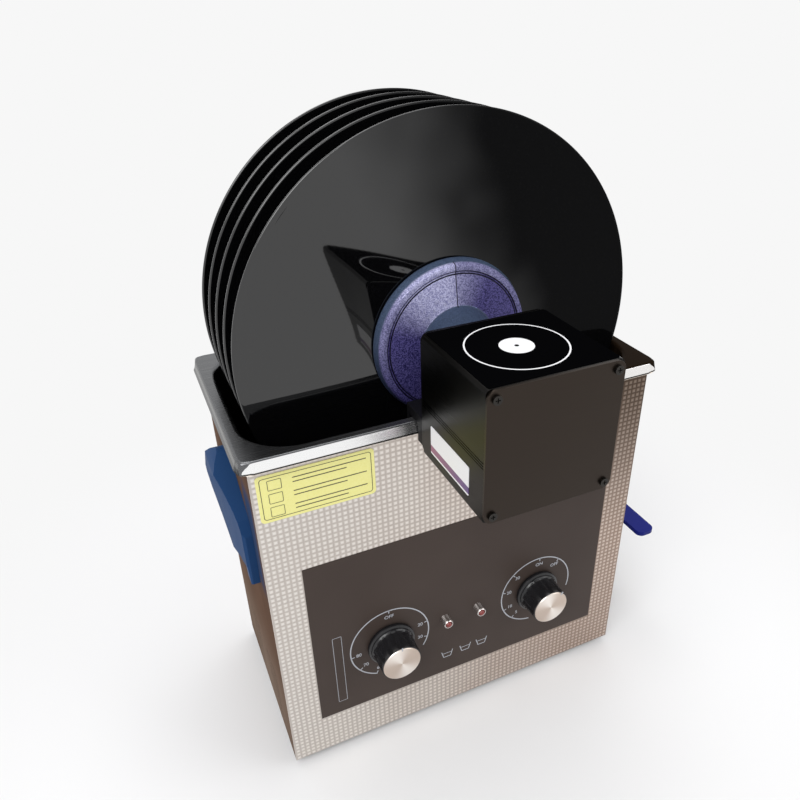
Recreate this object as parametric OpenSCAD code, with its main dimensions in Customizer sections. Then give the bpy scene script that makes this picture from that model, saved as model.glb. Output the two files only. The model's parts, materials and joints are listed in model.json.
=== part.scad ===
// Record cleaning machine: an ultrasonic bath with a motor unit hung on its
// front rim. The motor turns a horizontal spindle that carries five 12-inch
// records, so that their grooves pass through the bath.
// X is to the right, Y to the back and Z up. The origin is on the table, under
// the middle of the bath. All sizes are in millimetres.

/* [Housing] */
// Height of the rim's top face above the table
rim_z = 311; // [300:1:360]
// Thickness of the housing's sheet
sheet = 1; // [0.8:0.1:1.2]
// Depth of the front panel's side returns
return_d = 12; // [8:1:16]
// Thickness of the base plate
base_t = 1.2; // [1:0.1:2]
// Width of the housing's bottom flanges
bottom_flange = 34; // [32:1:40]

/* [Feet] */
// Height of the rubber feet
foot_h = 8; // [6:0.5:12]
// Radius of the feet
foot_r = 10; // [8:0.5:12]
// Distance of the feet from the housing's sides
foot_inset = 21; // [18:1:28]

/* [Tank] */
// Gap between a record's widest line and the tank's ends
record_room = 2.2; // [1:0.1:6]
// Inside width of the tank at the opening, front to back
tank_d = 154; // [150:1:180]
// Inside depth of the tank
tank_h = 150; // [140:1:160]
// Radius of the tank's upright corners
tank_r = 36; // [30:1:40]
// Radius between the tank's walls and its bottom
tank_fillet = 12; // [6:1:16]
// Thickness of the tank's sheet
tank_t = 1; // [0.8:0.1:1.2]
// Gap between the tank's walls and the housing's sheets
tank_gap = 2.5; // [2:0.1:10]
// How far the rim stands out past the housing's sides
rim_side = 5; // [4:0.5:8]
// How far the rim stands out past the front and back
rim_front = 4; // [3.5:0.5:6]
// Corner radius of the rim
rim_r = 9; // [6:1:14]
// Height of the rim's turned-down lip
lip_h = 11.6; // [8:0.2:14]
// How far the lip flares outward at its lower edge
lip_flare = 2; // [0:0.5:3]
// Bend radius where the rim turns down
rim_bend = 2; // [1.5:0.5:3]
// Bend radius where the tank's wall turns into the rim
mouth_bend = 3; // [2:0.5:4]

/* [Control panel] */
// Width of the control overlay
panel_w = 263; // [250:1:300]
// Height of the control overlay
panel_h = 162; // [150:1:180]
// Height of the overlay's lower edge above the table
panel_z = 47.5; // [40:0.5:60]
// Thickness of the overlay film
film_t = 0.5; // [0.3:0.1:0.8]
// Distance of each dial from the middle of the panel
dial_x = 68.5; // [60:0.5:80]
// Height of the dials above the table
dial_z = 108.4; // [100:0.2:120]
// Distance between the two pilot lamps
lamp_gap = 30.6; // [24:0.2:40]
// Offset of the lamp pair from the middle
lamp_x = -4.2; // [-8:0.2:8]
// Height of the pilot lamps above the table
lamp_z = 112; // [106:0.5:120]
// Radius of a pilot lamp's bezel
lamp_r = 4.2; // [3.6:0.1:5]
// How far a lamp's bezel stands out of the panel
lamp_out = 8; // [6:0.5:12]
// Width of the notice on the front
notice_w = 81; // [70:1:90]
// Height of the notice
notice_h = 37.5; // [30:0.5:45]
// Distance of the notice from the housing's left edge
notice_inset = 4; // [2:0.5:10]
// Distance of the notice below the rim's top face
notice_drop = 14.5; // [13:0.5:20]

/* [Knobs] */
// Radius of a knob's skirt
skirt_r = 20; // [18:0.5:22]
// Radius of a knob's fluted grip
grip_r = 16.6; // [15:0.2:18]
// Radius of the metal cap on a knob
cap_r = 15.6; // [13:0.2:16]
// How far a knob stands out of the control panel
knob_h = 25; // [20:0.5:30]
// Thickness of the knob's skirt
skirt_t = 3.2; // [2.5:0.1:5]
// Number of flutes around a knob
flutes = 12; // [8:1:16]
// Radius of the control shafts
knob_shaft_r = 3; // [2.5:0.1:3.5]
// Gap between a knob and the control panel
knob_gap = 1; // [0.6:0.1:2]

/* [Handles] */
// Width of a side handle
handle_w = 112; // [90:1:124]
// Distance of the handle's top below the rim's top face
handle_drop = 36; // [20:1:44]
// Overall height of a handle
handle_h = 88; // [76:1:100]
// How far the hood stands out from the housing in the middle
handle_out = 18; // [15:0.2:22]
// Thickness of the handle at its ends
handle_foot = 6.6; // [5:0.2:8]
// Height of the open window between the handle's feet
finger_h = 16; // [10:1:24]
// Width of a handle's foot beside the window
handle_leg = 12; // [10:0.5:16]
// Wall thickness of the handle
handle_t = 2.8; // [2.2:0.1:3.6]

/* [Drain] */
// Distance of the drain pipe from the tank's middle
drain_x = 126; // [118:1:130]
// Distance of the drain behind the middle
drain_y = 8; // [0:1:20]
// Height of the valve's axis above the table
drain_z = 86; // [78:1:95]
// Inside radius of the drain pipe
drain_bore = 5; // [4:0.2:6]
// Wall thickness of the drain pipe
drain_wall = 2.5; // [2:0.1:3]
// Length of the valve's body
valve_l = 52; // [46:1:60]
// Radius of the valve's body
valve_r = 13; // [12:0.5:15]
// Distance of the valve's stem from the housing
stem_out = 38.5; // [36:0.5:44]
// Height of the lever above the valve's axis
lever_rise = 31; // [28:0.5:36]
// Length of the lever from the stem
lever_l = 82; // [70:1:95]
// Width of the lever's sleeve
sleeve_w = 18; // [15:0.5:22]

/* [Drive unit] */
// Width of the motor box
box_w = 87.5; // [84:0.5:100]
// Height of the motor box
box_h = 86.6; // [84:0.2:100]
// Depth of the motor box with its end plates
box_d = 83; // [78:1:100]
// Thickness of the box's end plates
plate_t = 2; // [1.5:0.1:3]
// Wall thickness of the box
box_t = 2; // [1.6:0.1:2.5]
// Corner radius of the end plates
plate_r = 6; // [4:0.5:8]
// Distance of the end plates' screws from the edges
screw_inset = 5.4; // [5:0.1:6]
// Distance of the box from the rim's front edge
box_gap = 18; // [16:0.5:24]
// Sideways offset of the box from the spindle
box_shift = -2.4; // [-6:0.2:6]
// Distance from the spindle down to the box's lower face
spindle_drop = 52.7; // [48:0.1:56]
// Width of the saddle that hangs on the rim
saddle_w = 80; // [60:1:84]
// Thickness of the saddle above the rim
saddle_t = 7; // [5:0.5:10]
// Thickness of the saddle's inner leg
saddle_leg = 4; // [3:0.5:5]
// How far the inner leg reaches below the rim's top
saddle_reach = 26; // [20:1:34]
// Radius of the gear motor's body
motor_r = 18.5; // [16:0.5:19]
// Offset of the motor's output shaft from its middle
motor_offset = 7; // [5:0.5:8]
// Length of the motor's gearbox
gearbox_l = 23; // [18:1:28]
// Length of the motor behind the gearbox
motor_l = 31; // [25:1:36]
// Radius of the motor's output shaft
motor_shaft_r = 3; // [2.5:0.1:3.5]

/* [Spindle and records] */
// Height of the spindle above the rim's top face
spindle_rise = 39; // [36:0.5:44]
// Radius of the spindle rod
rod_r = 3.5; // [3.3:0.05:3.55]
// Radius of a record
record_r = 150.8; // [148:0.1:152]
// Radius of a record's centre hole
hole_r = 3.62; // [3.6:0.01:3.8]
// Thickness of a record at its edge and label
record_t = 2.2; // [1.8:0.1:3]
// Thickness of a record across its grooves
groove_t = 1.8; // [1.4:0.1:1.8]
// Radius of a record's label
label_r = 50; // [48:0.5:51]
// Distance from one record to the next
record_pitch = 26.5; // [22:0.5:27]
// Distance of the middle record behind the tank's middle
stack_shift = 4.7; // [0:0.1:6]
// Radius of the clamping discs where they meet a record
clamp_r = 57.5; // [54:0.5:60]
// Thickness of the inner clamping disc at its edge
clamp_t = 9.5; // [7:0.5:11]
// Radius of the hub on the inner clamping disc
hub_r = 27; // [22:0.5:30]
// Thickness of the rubber seals
seal_t = 1.6; // [1:0.1:2]
// Radius of the clamp nut
nut_r = 17; // [14:0.5:20]
// Length of the clamp nut
nut_l = 12; // [9:0.5:16]

/* [Hidden] */
$fn = 64;

// Small overlap of a cutting shape past the face that it cuts
cut = 1;
// Radial clearance of a shaft that turns in its bush
run = 0.05;

// Tank
tank_w = 2 * (record_r + record_room);
pad_size = [190, 1.5, 65];
pad_lift = 20;

// Housing
case_w = tank_w + 2 * (tank_t + tank_gap + sheet);
case_d = tank_d + 2 * (tank_t + tank_gap + sheet);
base_z = foot_h;
flange_z = base_z + base_t;
case_top = rim_z - tank_t;
front_y = -case_d / 2;
side_x = case_w / 2;
rim_w = case_w + 2 * rim_side;
rim_d = case_d + 2 * rim_front;
rim_y = -rim_d / 2;
foot_x = side_x - foot_inset;
foot_y = case_d / 2 - foot_inset;
tank_floor = rim_z - tank_h;
tank_under = tank_floor - tank_t;

// Screws of the housing
m4_r = 2;
m4_head_r = 3.6;
m4_head_h = 1.8;
foot_recess_r = 5;
foot_recess_h = 4;

// Handles
handle_z = rim_z - handle_drop - handle_h;

// Control panel
panel_face = front_y - film_t;
knob_back = panel_face - knob_gap;
knob_front = panel_face - knob_h;
cap_t = 1;
bush_r = 4.5;
thermostat_size = [46, 34, 36];
timer_size = [52, 30, 52];
tab_size = [6, 6, 0.8];
lead_in = 10;
lead_rise = 8;

// Thermostat's bulb under the tank
bulb_r = 3;
bulb_l = 60;
bulb_line_r = 0.9;
bulb_line_l = 14;

// Transducers
transducer_pitch = 80;
horn_top_r = 22;
horn_low_r = 18.5;
horn_h = 20;
ceramic_r = 19;
ceramic_t = 5;
electrode_t = 0.5;
mass_r = 18.5;
mass_h = 18;
bolt_r = 4;
bolt_head_r = 8;
bolt_head_h = 6;
ceramic_top = tank_under - horn_h;
mass_top = ceramic_top - 2 * ceramic_t - electrode_t;
mass_bottom = mass_top - mass_h;

// Generator
standoff_h = 8;
board_size = [140, 100, 1.6];
board_pos = [-50, 5];
board_left = board_pos[0] - board_size[0] / 2;
board_right = board_pos[0] + board_size[0] / 2;
board_front = board_pos[1] - board_size[1] / 2;
board_back = board_pos[1] + board_size[1] / 2;
board_z = flange_z + standoff_h;
board_top = board_z + board_size[2];
board_hole_inset = 5;
capacitor_r = 8;
capacitor_h = 22;
capacitor_pitch = 22;
sink_size = [60, 3, 34];
fin_size = [2, 22, 34];
fin_pitch = 10;
fin_inset = 4;
core_size = [42, 14, 30];
core_limb = 8;
coil_r = 11;
wire_r = 1.2;
wire_loop = 12;
inlet_pos = [70, 48];
inlet_size = [28, 22, 21];
inlet_flange = [48, 2.5, 26];

// Drain
pipe_r = drain_bore + drain_wall;
valve_x0 = side_x + 9;
valve_x1 = valve_x0 + valve_l;
stem_x = side_x + stem_out;
ball_r = 8.6;
stem_r = 3.2;
lever_z = drain_z + lever_rise;
lever_t = 2.4;
lever_w = 13;
lever_heel = 8;
lever_crank = 12;
lever_step = 8;
sleeve_t = 4.6;
sleeve_l = 60;
barb_l = 14;
barb_r = drain_bore + 1.4;
barb_crest = 1;

// Drive unit
spindle_z = rim_z + spindle_rise;
box_back = rim_y - box_gap;
box_front = box_back - box_d;
box_x0 = box_shift - box_w / 2;
box_x1 = box_shift + box_w / 2;
box_z0 = spindle_z - spindle_drop;
box_z1 = box_z0 + box_h;
box_mid = (box_z0 + box_z1) / 2;
shell_front = box_front + plate_t;
shell_back = box_back - plate_t;
m3_r = 1.5;
m3_head_r = 2.8;
m3_head_h = 1.7;
m3_l = 10;
boss_r = 3.4;
saddle_slack = 0.5;
saddle_front = rim_y - lip_flare - saddle_slack;
saddle_in = -tank_d / 2 + mouth_bend;
motor_z = spindle_z - motor_offset;
motor_screw_circle = 15.5;
bush_len = 5;
bush_outer = 6;
jack_y = (box_front + box_back) / 2;
jack_z = box_z0 + box_h / 4;
jack_bore = 3.2;
jack_r = 5.5;
jack_l = 14;
label_t = 0.3;

// Spindle and records
record_y = stack_shift - 2 * record_pitch;
clamp_back = record_y - seal_t;
clamp_front = clamp_back - clamp_t;
hub_gap = 2.6;
hub_start = box_back + hub_gap;
hub_cone = 3.5;
hub_tip_r = hub_r - 5;
hub_socket = 14;
spacer_l = record_pitch - record_t - 2 * seal_t;
spacer_flange = 4;
spacer_core_r = 20;
seal_r = clamp_r - 2.5;
seal_in = label_r + 1;
last_face = record_y + 4 * record_pitch + record_t;
outer_y = last_face + seal_t;
outer_l = 10;
nut_y = outer_y + outer_l;
rod_start = hub_start + hub_socket + 2;
tip_l = 10;
tip_r = rod_r - 0.5;
tip_y = nut_y + nut_l + 2;
rod_end = tip_y + tip_l;

steel = [0.78, 0.76, 0.73];
bright = [0.86, 0.86, 0.86];
black = [0.07, 0.07, 0.08];
purple = [0.36, 0.30, 0.55];

// Shared shapes

// A rectangle with round corners, centred
module rounded(w, d, r) {
    square([w - 2 * r, d], center = true);
    square([w, d - 2 * r], center = true);
    for (x = [-1, 1], y = [-1, 1])
        translate([x * (w / 2 - r), y * (d / 2 - r)]) circle(r);
}

// A 2-D profile, x outward and y up, carried around a rounded rectangle
module around(w, d, r) {
    for (q = [0:3]) {
        long = q % 2 == 0;
        across = long ? d : w;
        along = long ? w : d;
        rotate([0, 0, q * 90]) {
            translate([along / 2 - r, across / 2 - r, 0])
                rotate_extrude(angle = 90) translate([r, 0]) children();
            translate([along / 2 - r, across / 2 - r, 0]) rotate([90, 0, -90])
                linear_extrude(along - 2 * r) mirror([1, 0]) translate([r, 0]) children();
        }
    }
}

// A tub: rounded rectangle with a filleted bottom, standing on z = 0
module tub(w, d, h, r, f) {
    translate([0, 0, f]) linear_extrude(h - f) rounded(w, d, r);
    for (x = [-1, 1], y = [-1, 1])
        translate([x * (w / 2 - r), y * (d / 2 - r), 0]) rotate_extrude() tub_edge(r, f);
    for (s = [0, 1]) {
        across = s == 0 ? d : w;
        along = s == 0 ? w : d;
        rotate([0, 0, s * 90]) rotate([90, 0, 90])
            linear_extrude(along - 2 * r, center = true)
                for (m = [0, 1]) mirror([m, 0]) tub_edge(across / 2, f);
    }
}

// Half of a tub's lower edge in section, out to radius r
module tub_edge(r, f) {
    square([r - f, f]);
    intersection() {
        translate([r - f, f]) circle(f);
        translate([r - f, 0]) square(f);
    }
}

// A cylinder along Y from y0 to y1
module bar_y(r, y0, y1) {
    translate([0, y0, 0]) rotate([-90, 0, 0]) cylinder(r = r, h = y1 - y0);
}

// A cylinder along X from x0 to x1
module bar_x(r, x0, x1) {
    translate([x0, 0, 0]) rotate([0, 90, 0]) cylinder(r = r, h = x1 - x0);
}

// A profile of radius and distance turned around the Y axis
module turn_y(y) {
    translate([0, y, 0]) rotate([-90, 0, 0]) rotate_extrude() children();
}

// A block given by two opposite corners
module block(a, b) {
    translate(a) cube(b - a);
}

// Housing and tank

module tank() {
    color(steel) {
        difference() {
            translate([0, 0, tank_under])
                tub(tank_w + 2 * tank_t, tank_d + 2 * tank_t, tank_h + tank_t - mouth_bend,
                    tank_r + tank_t, tank_fillet + tank_t);
            translate([0, 0, tank_floor])
                tub(tank_w, tank_d, tank_h + cut, tank_r, tank_fillet);
            translate([drain_x, drain_y, tank_under - cut])
                cylinder(r = drain_bore, h = tank_t + 2 * cut);
        }
        translate([0, 0, rim_z]) {
            around(tank_w, tank_d, tank_r) mouth_section();
            translate([0, 0, -tank_t]) linear_extrude(tank_t) difference() {
                rounded(rim_w - 2 * rim_bend, rim_d - 2 * rim_bend, rim_r - rim_bend);
                rounded(tank_w + 2 * mouth_bend, tank_d + 2 * mouth_bend, tank_r + mouth_bend);
            }
            around(rim_w, rim_d, rim_r) lip_section();
        }
    }
}

// The bend from the tank's wall into the rim
module mouth_section() {
    intersection() {
        translate([mouth_bend, -mouth_bend]) difference() {
            circle(mouth_bend);
            circle(mouth_bend - tank_t);
        }
        translate([0, -mouth_bend]) square(mouth_bend);
    }
}

// The bend and the flared lip outside the rim
module lip_section() {
    intersection() {
        translate([-rim_bend, -rim_bend]) difference() {
            circle(rim_bend);
            circle(rim_bend - tank_t);
        }
        translate([-rim_bend, -rim_bend]) square(rim_bend);
    }
    polygon([[-tank_t, -rim_bend], [0, -rim_bend], [lip_flare, -lip_h],
             [lip_flare - tank_t, -lip_h]]);
}

module front_panel() {
    color([0.74, 0.70, 0.65]) difference() {
        union() {
            block([-side_x, front_y, base_z], [side_x, front_y + sheet, case_top]);
            for (m = [0, 1]) mirror([m, 0, 0])
                block([side_x - 2 * sheet, front_y, flange_z + sheet],
                      [side_x - sheet, front_y + return_d, case_top]);
        }
        for (x = [-dial_x, dial_x]) translate([x, 0, dial_z])
            bar_y(bush_r, front_y - cut, front_y + sheet + cut);
        for (x = [-1, 1]) translate([lamp_x + x * lamp_gap / 2, 0, lamp_z])
            bar_y(lamp_r - 1, front_y - cut, front_y + sheet + cut);
    }
}

module case_wrap() {
    color([0.72, 0.69, 0.65]) difference() {
        union() {
            for (m = [0, 1]) mirror([m, 0, 0]) {
                block([side_x - sheet, front_y + sheet, base_z], [side_x, -front_y, case_top]);
                block([side_x - bottom_flange, front_y + 2 * sheet, flange_z],
                      [side_x - sheet, -front_y - sheet, flange_z + sheet]);
            }
            block([-side_x + sheet, -front_y - sheet, base_z],
                  [side_x - sheet, -front_y, case_top]);
        }
        for (m = [0, 1]) mirror([m, 0, 0]) {
            louvres();
            for (y = [-1, 1]) translate([foot_x, y * foot_y, 0])
                cylinder(r = m4_r, h = flange_z + 2 * sheet);
            for (z = handle_screw_z(), y = [-1, 1])
                translate([0, y * handle_screw_y(), z]) bar_x(m4_r, side_x - 2 * sheet, side_x + cut);
        }
        translate([0, drain_y, drain_z]) bar_x(pipe_r, side_x - 2 * sheet, side_x + cut);
        translate([inlet_pos[0], -front_y, inlet_pos[1]])
            cube([inlet_size[0], 4 * sheet, inlet_size[2]], center = true);
    }
}

// Two columns of cooling slots low in a side wall
module louvres() {
    slot_l = 36;
    slot_h = 3;
    for (i = [0:5], y = [-1, 1]) translate([side_x, y * 30, base_z + 18 + i * 9]) {
        cube([4 * sheet, slot_l - slot_h, slot_h], center = true);
        for (e = [-1, 1]) translate([0, e * (slot_l - slot_h) / 2, 0])
            bar_x(slot_h / 2, -2 * sheet, 2 * sheet);
    }
}

module base_plate() {
    color(steel) difference() {
        block([-side_x + sheet, front_y + sheet, base_z],
              [side_x - sheet, -front_y - sheet, flange_z]);
        for (x = [-1, 1], y = [-1, 1]) translate([x * foot_x, y * foot_y, base_z - cut])
            cylinder(r = m4_r, h = base_t + 2 * cut);
    }
}

module rubber_feet() {
    color(black) for (x = [-1, 1], y = [-1, 1]) translate([x * foot_x, y * foot_y, 0])
        difference() {
            cylinder(r1 = foot_r - 1.5, r2 = foot_r, h = foot_h);
            translate([0, 0, -cut]) cylinder(r = foot_recess_r, h = foot_recess_h + cut);
            cylinder(r = m4_r, h = foot_h + cut);
        }
}

// One screw with a round head: head below z = 0, shank above it
module screw(r, l, head_r, head_h) {
    cylinder(r = r, h = l);
    difference() {
        translate([0, 0, -head_h]) cylinder(r = head_r, h = head_h);
        for (a = [0, 90]) rotate([0, 0, a]) translate([0, 0, -head_h])
            cube([head_r * 1.1, head_r * 0.25, head_h], center = true);
    }
}

function handle_screw_y() = handle_w / 2 - handle_t - 4;
function handle_screw_z() = [handle_z + finger_h * 0.6, handle_z + handle_h * 0.44];

module case_screws() {
    color(bright) {
        for (x = [-1, 1], y = [-1, 1]) translate([x * foot_x, y * foot_y, foot_recess_h])
            screw(m4_r, flange_z + sheet + 2 - foot_recess_h, m4_head_r, m4_head_h);
        for (m = [0, 1], z = handle_screw_z(), y = [-1, 1]) mirror([m, 0, 0])
            translate([side_x - sheet, y * handle_screw_y(), z]) rotate([0, 90, 0])
                screw(m4_r, sheet + handle_foot - 2, m4_head_r, m4_head_h - 0.6);
    }
}

// A handle in section, taken in by t: x away from the housing, y up
module handle_section(t, low) {
    polygon([[low, low], [handle_foot - t, low], [handle_foot + 0.6 - t, finger_h],
             [handle_out * 0.66 - t, finger_h + 2], [handle_out * 0.8 - t, handle_h * 0.48],
             [handle_out * 0.94 - t, handle_h * 0.71], [handle_out * 0.95 - t, handle_h * 0.79],
             [handle_out * 0.84 - t, handle_h * 0.87 - t * 0.5],
             [handle_out * 0.69 - t, handle_h * 0.93 - t],
             [handle_out * 0.47 - t, handle_h * 0.985 - t], [low, handle_h - t]]);
}

// Half of a handle's crown from above, taken in by t: x along its width, y outwards
module handle_crown(t) {
    half = handle_w / 2;
    polygon([[-1, -1], [half - t, -1], [half - t, handle_foot - 1.4 - t],
             [half - 1.6 - t, handle_foot + 0.8 - t], [half * 0.79, handle_out * 0.5 - t],
             [half * 0.5, handle_out * 0.68 - t], [half * 0.21, handle_out * 0.925 - t],
             [half * 0.08, handle_out + 1], [-1, handle_out + 1]]);
}

// Half of a handle from the side of the bath, taken in by t: x along its width, y up
module handle_arch(t) {
    half = handle_w / 2;
    polygon([[-1, -1], [half - t, -1], [half - t, handle_h * 0.5],
             [half * 0.9 - t * 0.6, handle_h * 0.625 - t * 0.6],
             [half * 0.75, handle_h * 0.7 - t], [half * 0.54, handle_h * 0.78 - t],
             [half * 0.32, handle_h * 0.868 - t], [half * 0.18, handle_h * 0.94 - t],
             [half * 0.07, handle_h * 0.98 - t], [-1, handle_h * 0.99 - t]]);
}

// The whole form of a handle taken in by t, with low its lowest and innermost place
module handle_form(t, low) {
    intersection() {
        rotate([90, 0, 0]) linear_extrude(handle_w + 2, center = true) handle_section(t, low);
        translate([0, 0, -2]) linear_extrude(handle_h + 4) union() {
            rotate([0, 0, 90]) mirror([0, 1]) handle_crown(t);
            mirror([0, 1]) rotate([0, 0, 90]) mirror([0, 1]) handle_crown(t);
        }
        translate([-2, 0, 0]) rotate([90, 0, 90]) linear_extrude(handle_out + 4) union() {
            handle_arch(t);
            mirror([1, 0]) handle_arch(t);
        }
    }
}

module handle_right() {
    window = handle_w - 2 * handle_leg;
    color([0.16, 0.28, 0.55]) translate([side_x, 0, handle_z]) {
        difference() {
            union() {
                difference() {
                    handle_form(0, 0);
                    handle_form(handle_t, -cut);
                    translate([-cut, -window / 2, -cut])
                        cube([handle_out, window, finger_h + 2 + cut]);
                }
                for (z = handle_screw_z(), y = [-1, 1])
                    translate([0, y * handle_screw_y(), z - handle_z])
                        bar_x(m4_r + 2.5, 0, handle_foot - 0.6);
            }
            for (z = handle_screw_z(), y = [-1, 1])
                translate([0, y * handle_screw_y(), z - handle_z])
                    bar_x(m4_r, -cut, handle_foot - 1.4);
        }
    }
}

module handle_left() {
    mirror([1, 0, 0]) handle_right();
}

// Controls

module control_panel() {
    color([0.30, 0.27, 0.25]) difference() {
        block([-panel_w / 2, panel_face, panel_z], [panel_w / 2, front_y, panel_z + panel_h]);
        for (x = [-dial_x, dial_x]) translate([x, 0, dial_z])
            bar_y(bush_r, panel_face - cut, front_y + cut);
        for (x = [-1, 1]) translate([lamp_x + x * lamp_gap / 2, 0, lamp_z])
            bar_y(lamp_r - 1, panel_face - cut, front_y + cut);
    }
}

module notice_label() {
    color([0.96, 0.93, 0.42])
        translate([-side_x + notice_inset + notice_w / 2, front_y,
                   rim_z - notice_drop - notice_h / 2])
            rotate([90, 0, 0]) linear_extrude(film_t) rounded(notice_w, notice_h, 3);
}

// A control behind the panel, with its threaded bush through the sheet
module control_body(size) {
    difference() {
        union() {
            translate([0, front_y + sheet + size[1] / 2, dial_z]) cube(size, center = true);
            translate([0, 0, dial_z]) bar_y(bush_r, panel_face, front_y + sheet + 1);
        }
        translate([0, 0, dial_z])
            bar_y(knob_shaft_r + run, panel_face - cut, front_y + size[1] / 2);
    }
}

// Two flat terminals on the back of a control
module control_tabs(size, spread) {
    for (z = [-spread, spread])
        translate([0, front_y + sheet + size[1] + tab_size[1] / 2, dial_z + z])
            cube(tab_size, center = true);
}

module thermostat() {
    color([0.85, 0.84, 0.80]) translate([-dial_x, 0, 0]) {
        control_body(thermostat_size);
        control_tabs(thermostat_size, 10);
    }
}

module timer() {
    color([0.90, 0.90, 0.88]) translate([dial_x, 0, 0]) {
        control_body(timer_size);
        control_tabs(timer_size, 12);
    }
}

// Sensing bulb clipped under the tank, with its capillary back to the control
module thermostat_bulb() {
    line_x = -dial_x - thermostat_size[0] / 2 - 2 * bulb_line_l;
    bulb_y = front_y + sheet + thermostat_size[1] - 4;
    bulb_z = tank_under - bulb_r;
    color([0.80, 0.50, 0.32]) {
        translate([line_x + bulb_line_l, bulb_y, bulb_z]) bar_x(bulb_r, 0, bulb_l);
        translate([line_x, bulb_y, bulb_z]) {
            bar_x(bulb_line_r, 0, bulb_line_l);
            sphere(bulb_line_r);
        }
        translate([line_x, bulb_y, dial_z]) {
            cylinder(r = bulb_line_r, h = bulb_z - dial_z);
            sphere(bulb_line_r);
            bar_x(bulb_line_r, 0, 2 * bulb_line_l);
        }
    }
}

// Both control shafts: a round stem with a flat, from inside the control
module control_shaft() {
    difference() {
        translate([0, 0, dial_z])
            bar_y(knob_shaft_r, knob_front + cap_t + 4, front_y + thermostat_size[1] / 2 - 2);
        translate([-knob_shaft_r, knob_front, dial_z + knob_shaft_r * 0.6])
            cube([2 * knob_shaft_r, knob_back - knob_front, knob_shaft_r]);
    }
}

module thermostat_shaft() {
    color(bright) translate([-dial_x, 0, 0]) control_shaft();
}

module timer_shaft() {
    color(bright) translate([dial_x, 0, 0]) control_shaft();
}

// A fluted knob: skirt at the panel, grip and a seat for the metal cap
module knob() {
    grip_back = knob_back - skirt_t;
    grip_l = grip_back - knob_front - cap_t;
    translate([0, 0, dial_z]) difference() {
        turn_y(knob_front + cap_t) polygon([
            [0, 0], [grip_r - 0.6, 0], [grip_r, 0.6], [grip_r + 0.6, grip_l - 3],
            [skirt_r - 2.2, grip_l - 3], [skirt_r - 2, grip_l], [skirt_r - 0.6, grip_l],
            [skirt_r, grip_l + 0.8], [skirt_r, grip_l + skirt_t], [0, grip_l + skirt_t]]);
        for (i = [0:flutes - 1]) rotate([0, i * 360 / flutes, 0])
            translate([grip_r + 2.1, 0, 0]) bar_y(2.6, knob_front - cut, grip_back - 4);
        difference() {
            bar_y(knob_shaft_r, knob_front + cap_t + 4, knob_back + cut);
            translate([-knob_shaft_r, knob_front, knob_shaft_r * 0.6])
                cube([2 * knob_shaft_r, knob_back - knob_front, knob_shaft_r]);
        }
    }
}

module thermostat_knob() {
    color(black) translate([-dial_x, 0, 0]) knob();
}

module timer_knob() {
    color(black) translate([dial_x, 0, 0]) knob();
}

module knob_cap() {
    translate([0, 0, dial_z]) turn_y(knob_front)
        polygon([[0, 0], [cap_r - 0.4, 0], [cap_r, 0.4], [cap_r, cap_t], [0, cap_t]]);
}

module thermostat_cap() {
    color(bright) translate([-dial_x, 0, 0]) knob_cap();
}

module timer_cap() {
    color(bright) translate([dial_x, 0, 0]) knob_cap();
}

module pilot_bezels() {
    wall = 1;
    color(bright) for (x = [-1, 1]) translate([lamp_x + x * lamp_gap / 2, 0, lamp_z])
        difference() {
            union() {
                bar_y(lamp_r + 0.9, panel_face - 1, panel_face);
                turn_y(panel_face - lamp_out)
                    polygon([[0, 0], [lamp_r - wall, 0], [lamp_r, 1.2], [lamp_r, lamp_out], [0, lamp_out]]);
                bar_y(lamp_r - 1, panel_face, front_y + sheet + 9);
            }
            bar_y(lamp_r - 2, panel_face - lamp_out - cut, front_y + sheet + 9 + cut);
        }
}

module pilot_lenses() {
    lens_r = lamp_r - 2;
    color([0.75, 0.12, 0.10]) for (x = [-1, 1])
        translate([lamp_x + x * lamp_gap / 2, 0, lamp_z]) {
            bar_y(lens_r, panel_face - lamp_out, front_y + sheet + 9);
            translate([0, panel_face - lamp_out, 0]) intersection() {
                sphere(lens_r);
                translate([0, -lens_r, 0]) cube(2 * lens_r, center = true);
            }
        }
}

// Inside the housing

module at_transducers() {
    for (i = [-1:1]) translate([i * transducer_pitch, 0, 0]) children();
}

module transducer_horns() {
    color([0.80, 0.80, 0.82]) at_transducers() translate([0, 0, ceramic_top])
        difference() {
            cylinder(r1 = horn_low_r, r2 = horn_top_r, h = horn_h);
            translate([0, 0, -cut]) cylinder(r = bolt_r, h = horn_h - 5 + cut);
        }
}

module transducer_ceramics() {
    color([0.88, 0.86, 0.80]) at_transducers() translate([0, 0, mass_top]) difference() {
        union() {
            cylinder(r = ceramic_r, h = ceramic_t);
            translate([0, 0, ceramic_t]) cylinder(r = ceramic_r - 1, h = electrode_t);
            translate([-3, -ceramic_r - 6, ceramic_t]) cube([6, 10, electrode_t]);
            translate([0, 0, ceramic_t + electrode_t]) cylinder(r = ceramic_r, h = ceramic_t);
        }
        translate([0, 0, -cut]) cylinder(r = bolt_r + 1, h = 2 * ceramic_t + electrode_t + 2 * cut);
    }
}

module transducer_masses() {
    color([0.45, 0.45, 0.48]) at_transducers() {
        translate([0, 0, mass_bottom]) cylinder(r = mass_r, h = mass_h);
        translate([0, 0, mass_top]) cylinder(r = bolt_r, h = ceramic_top + horn_h - 5 - mass_top);
        translate([0, 0, mass_bottom - bolt_head_h]) cylinder(r = bolt_head_r, h = bolt_head_h, $fn = 6);
    }
}

module heater_pads() {
    color([0.80, 0.35, 0.12]) for (m = [0, 1]) mirror([0, m, 0])
        translate([-pad_size[0] / 2, tank_d / 2 + tank_t, tank_floor + pad_lift]) cube(pad_size);
}

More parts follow.
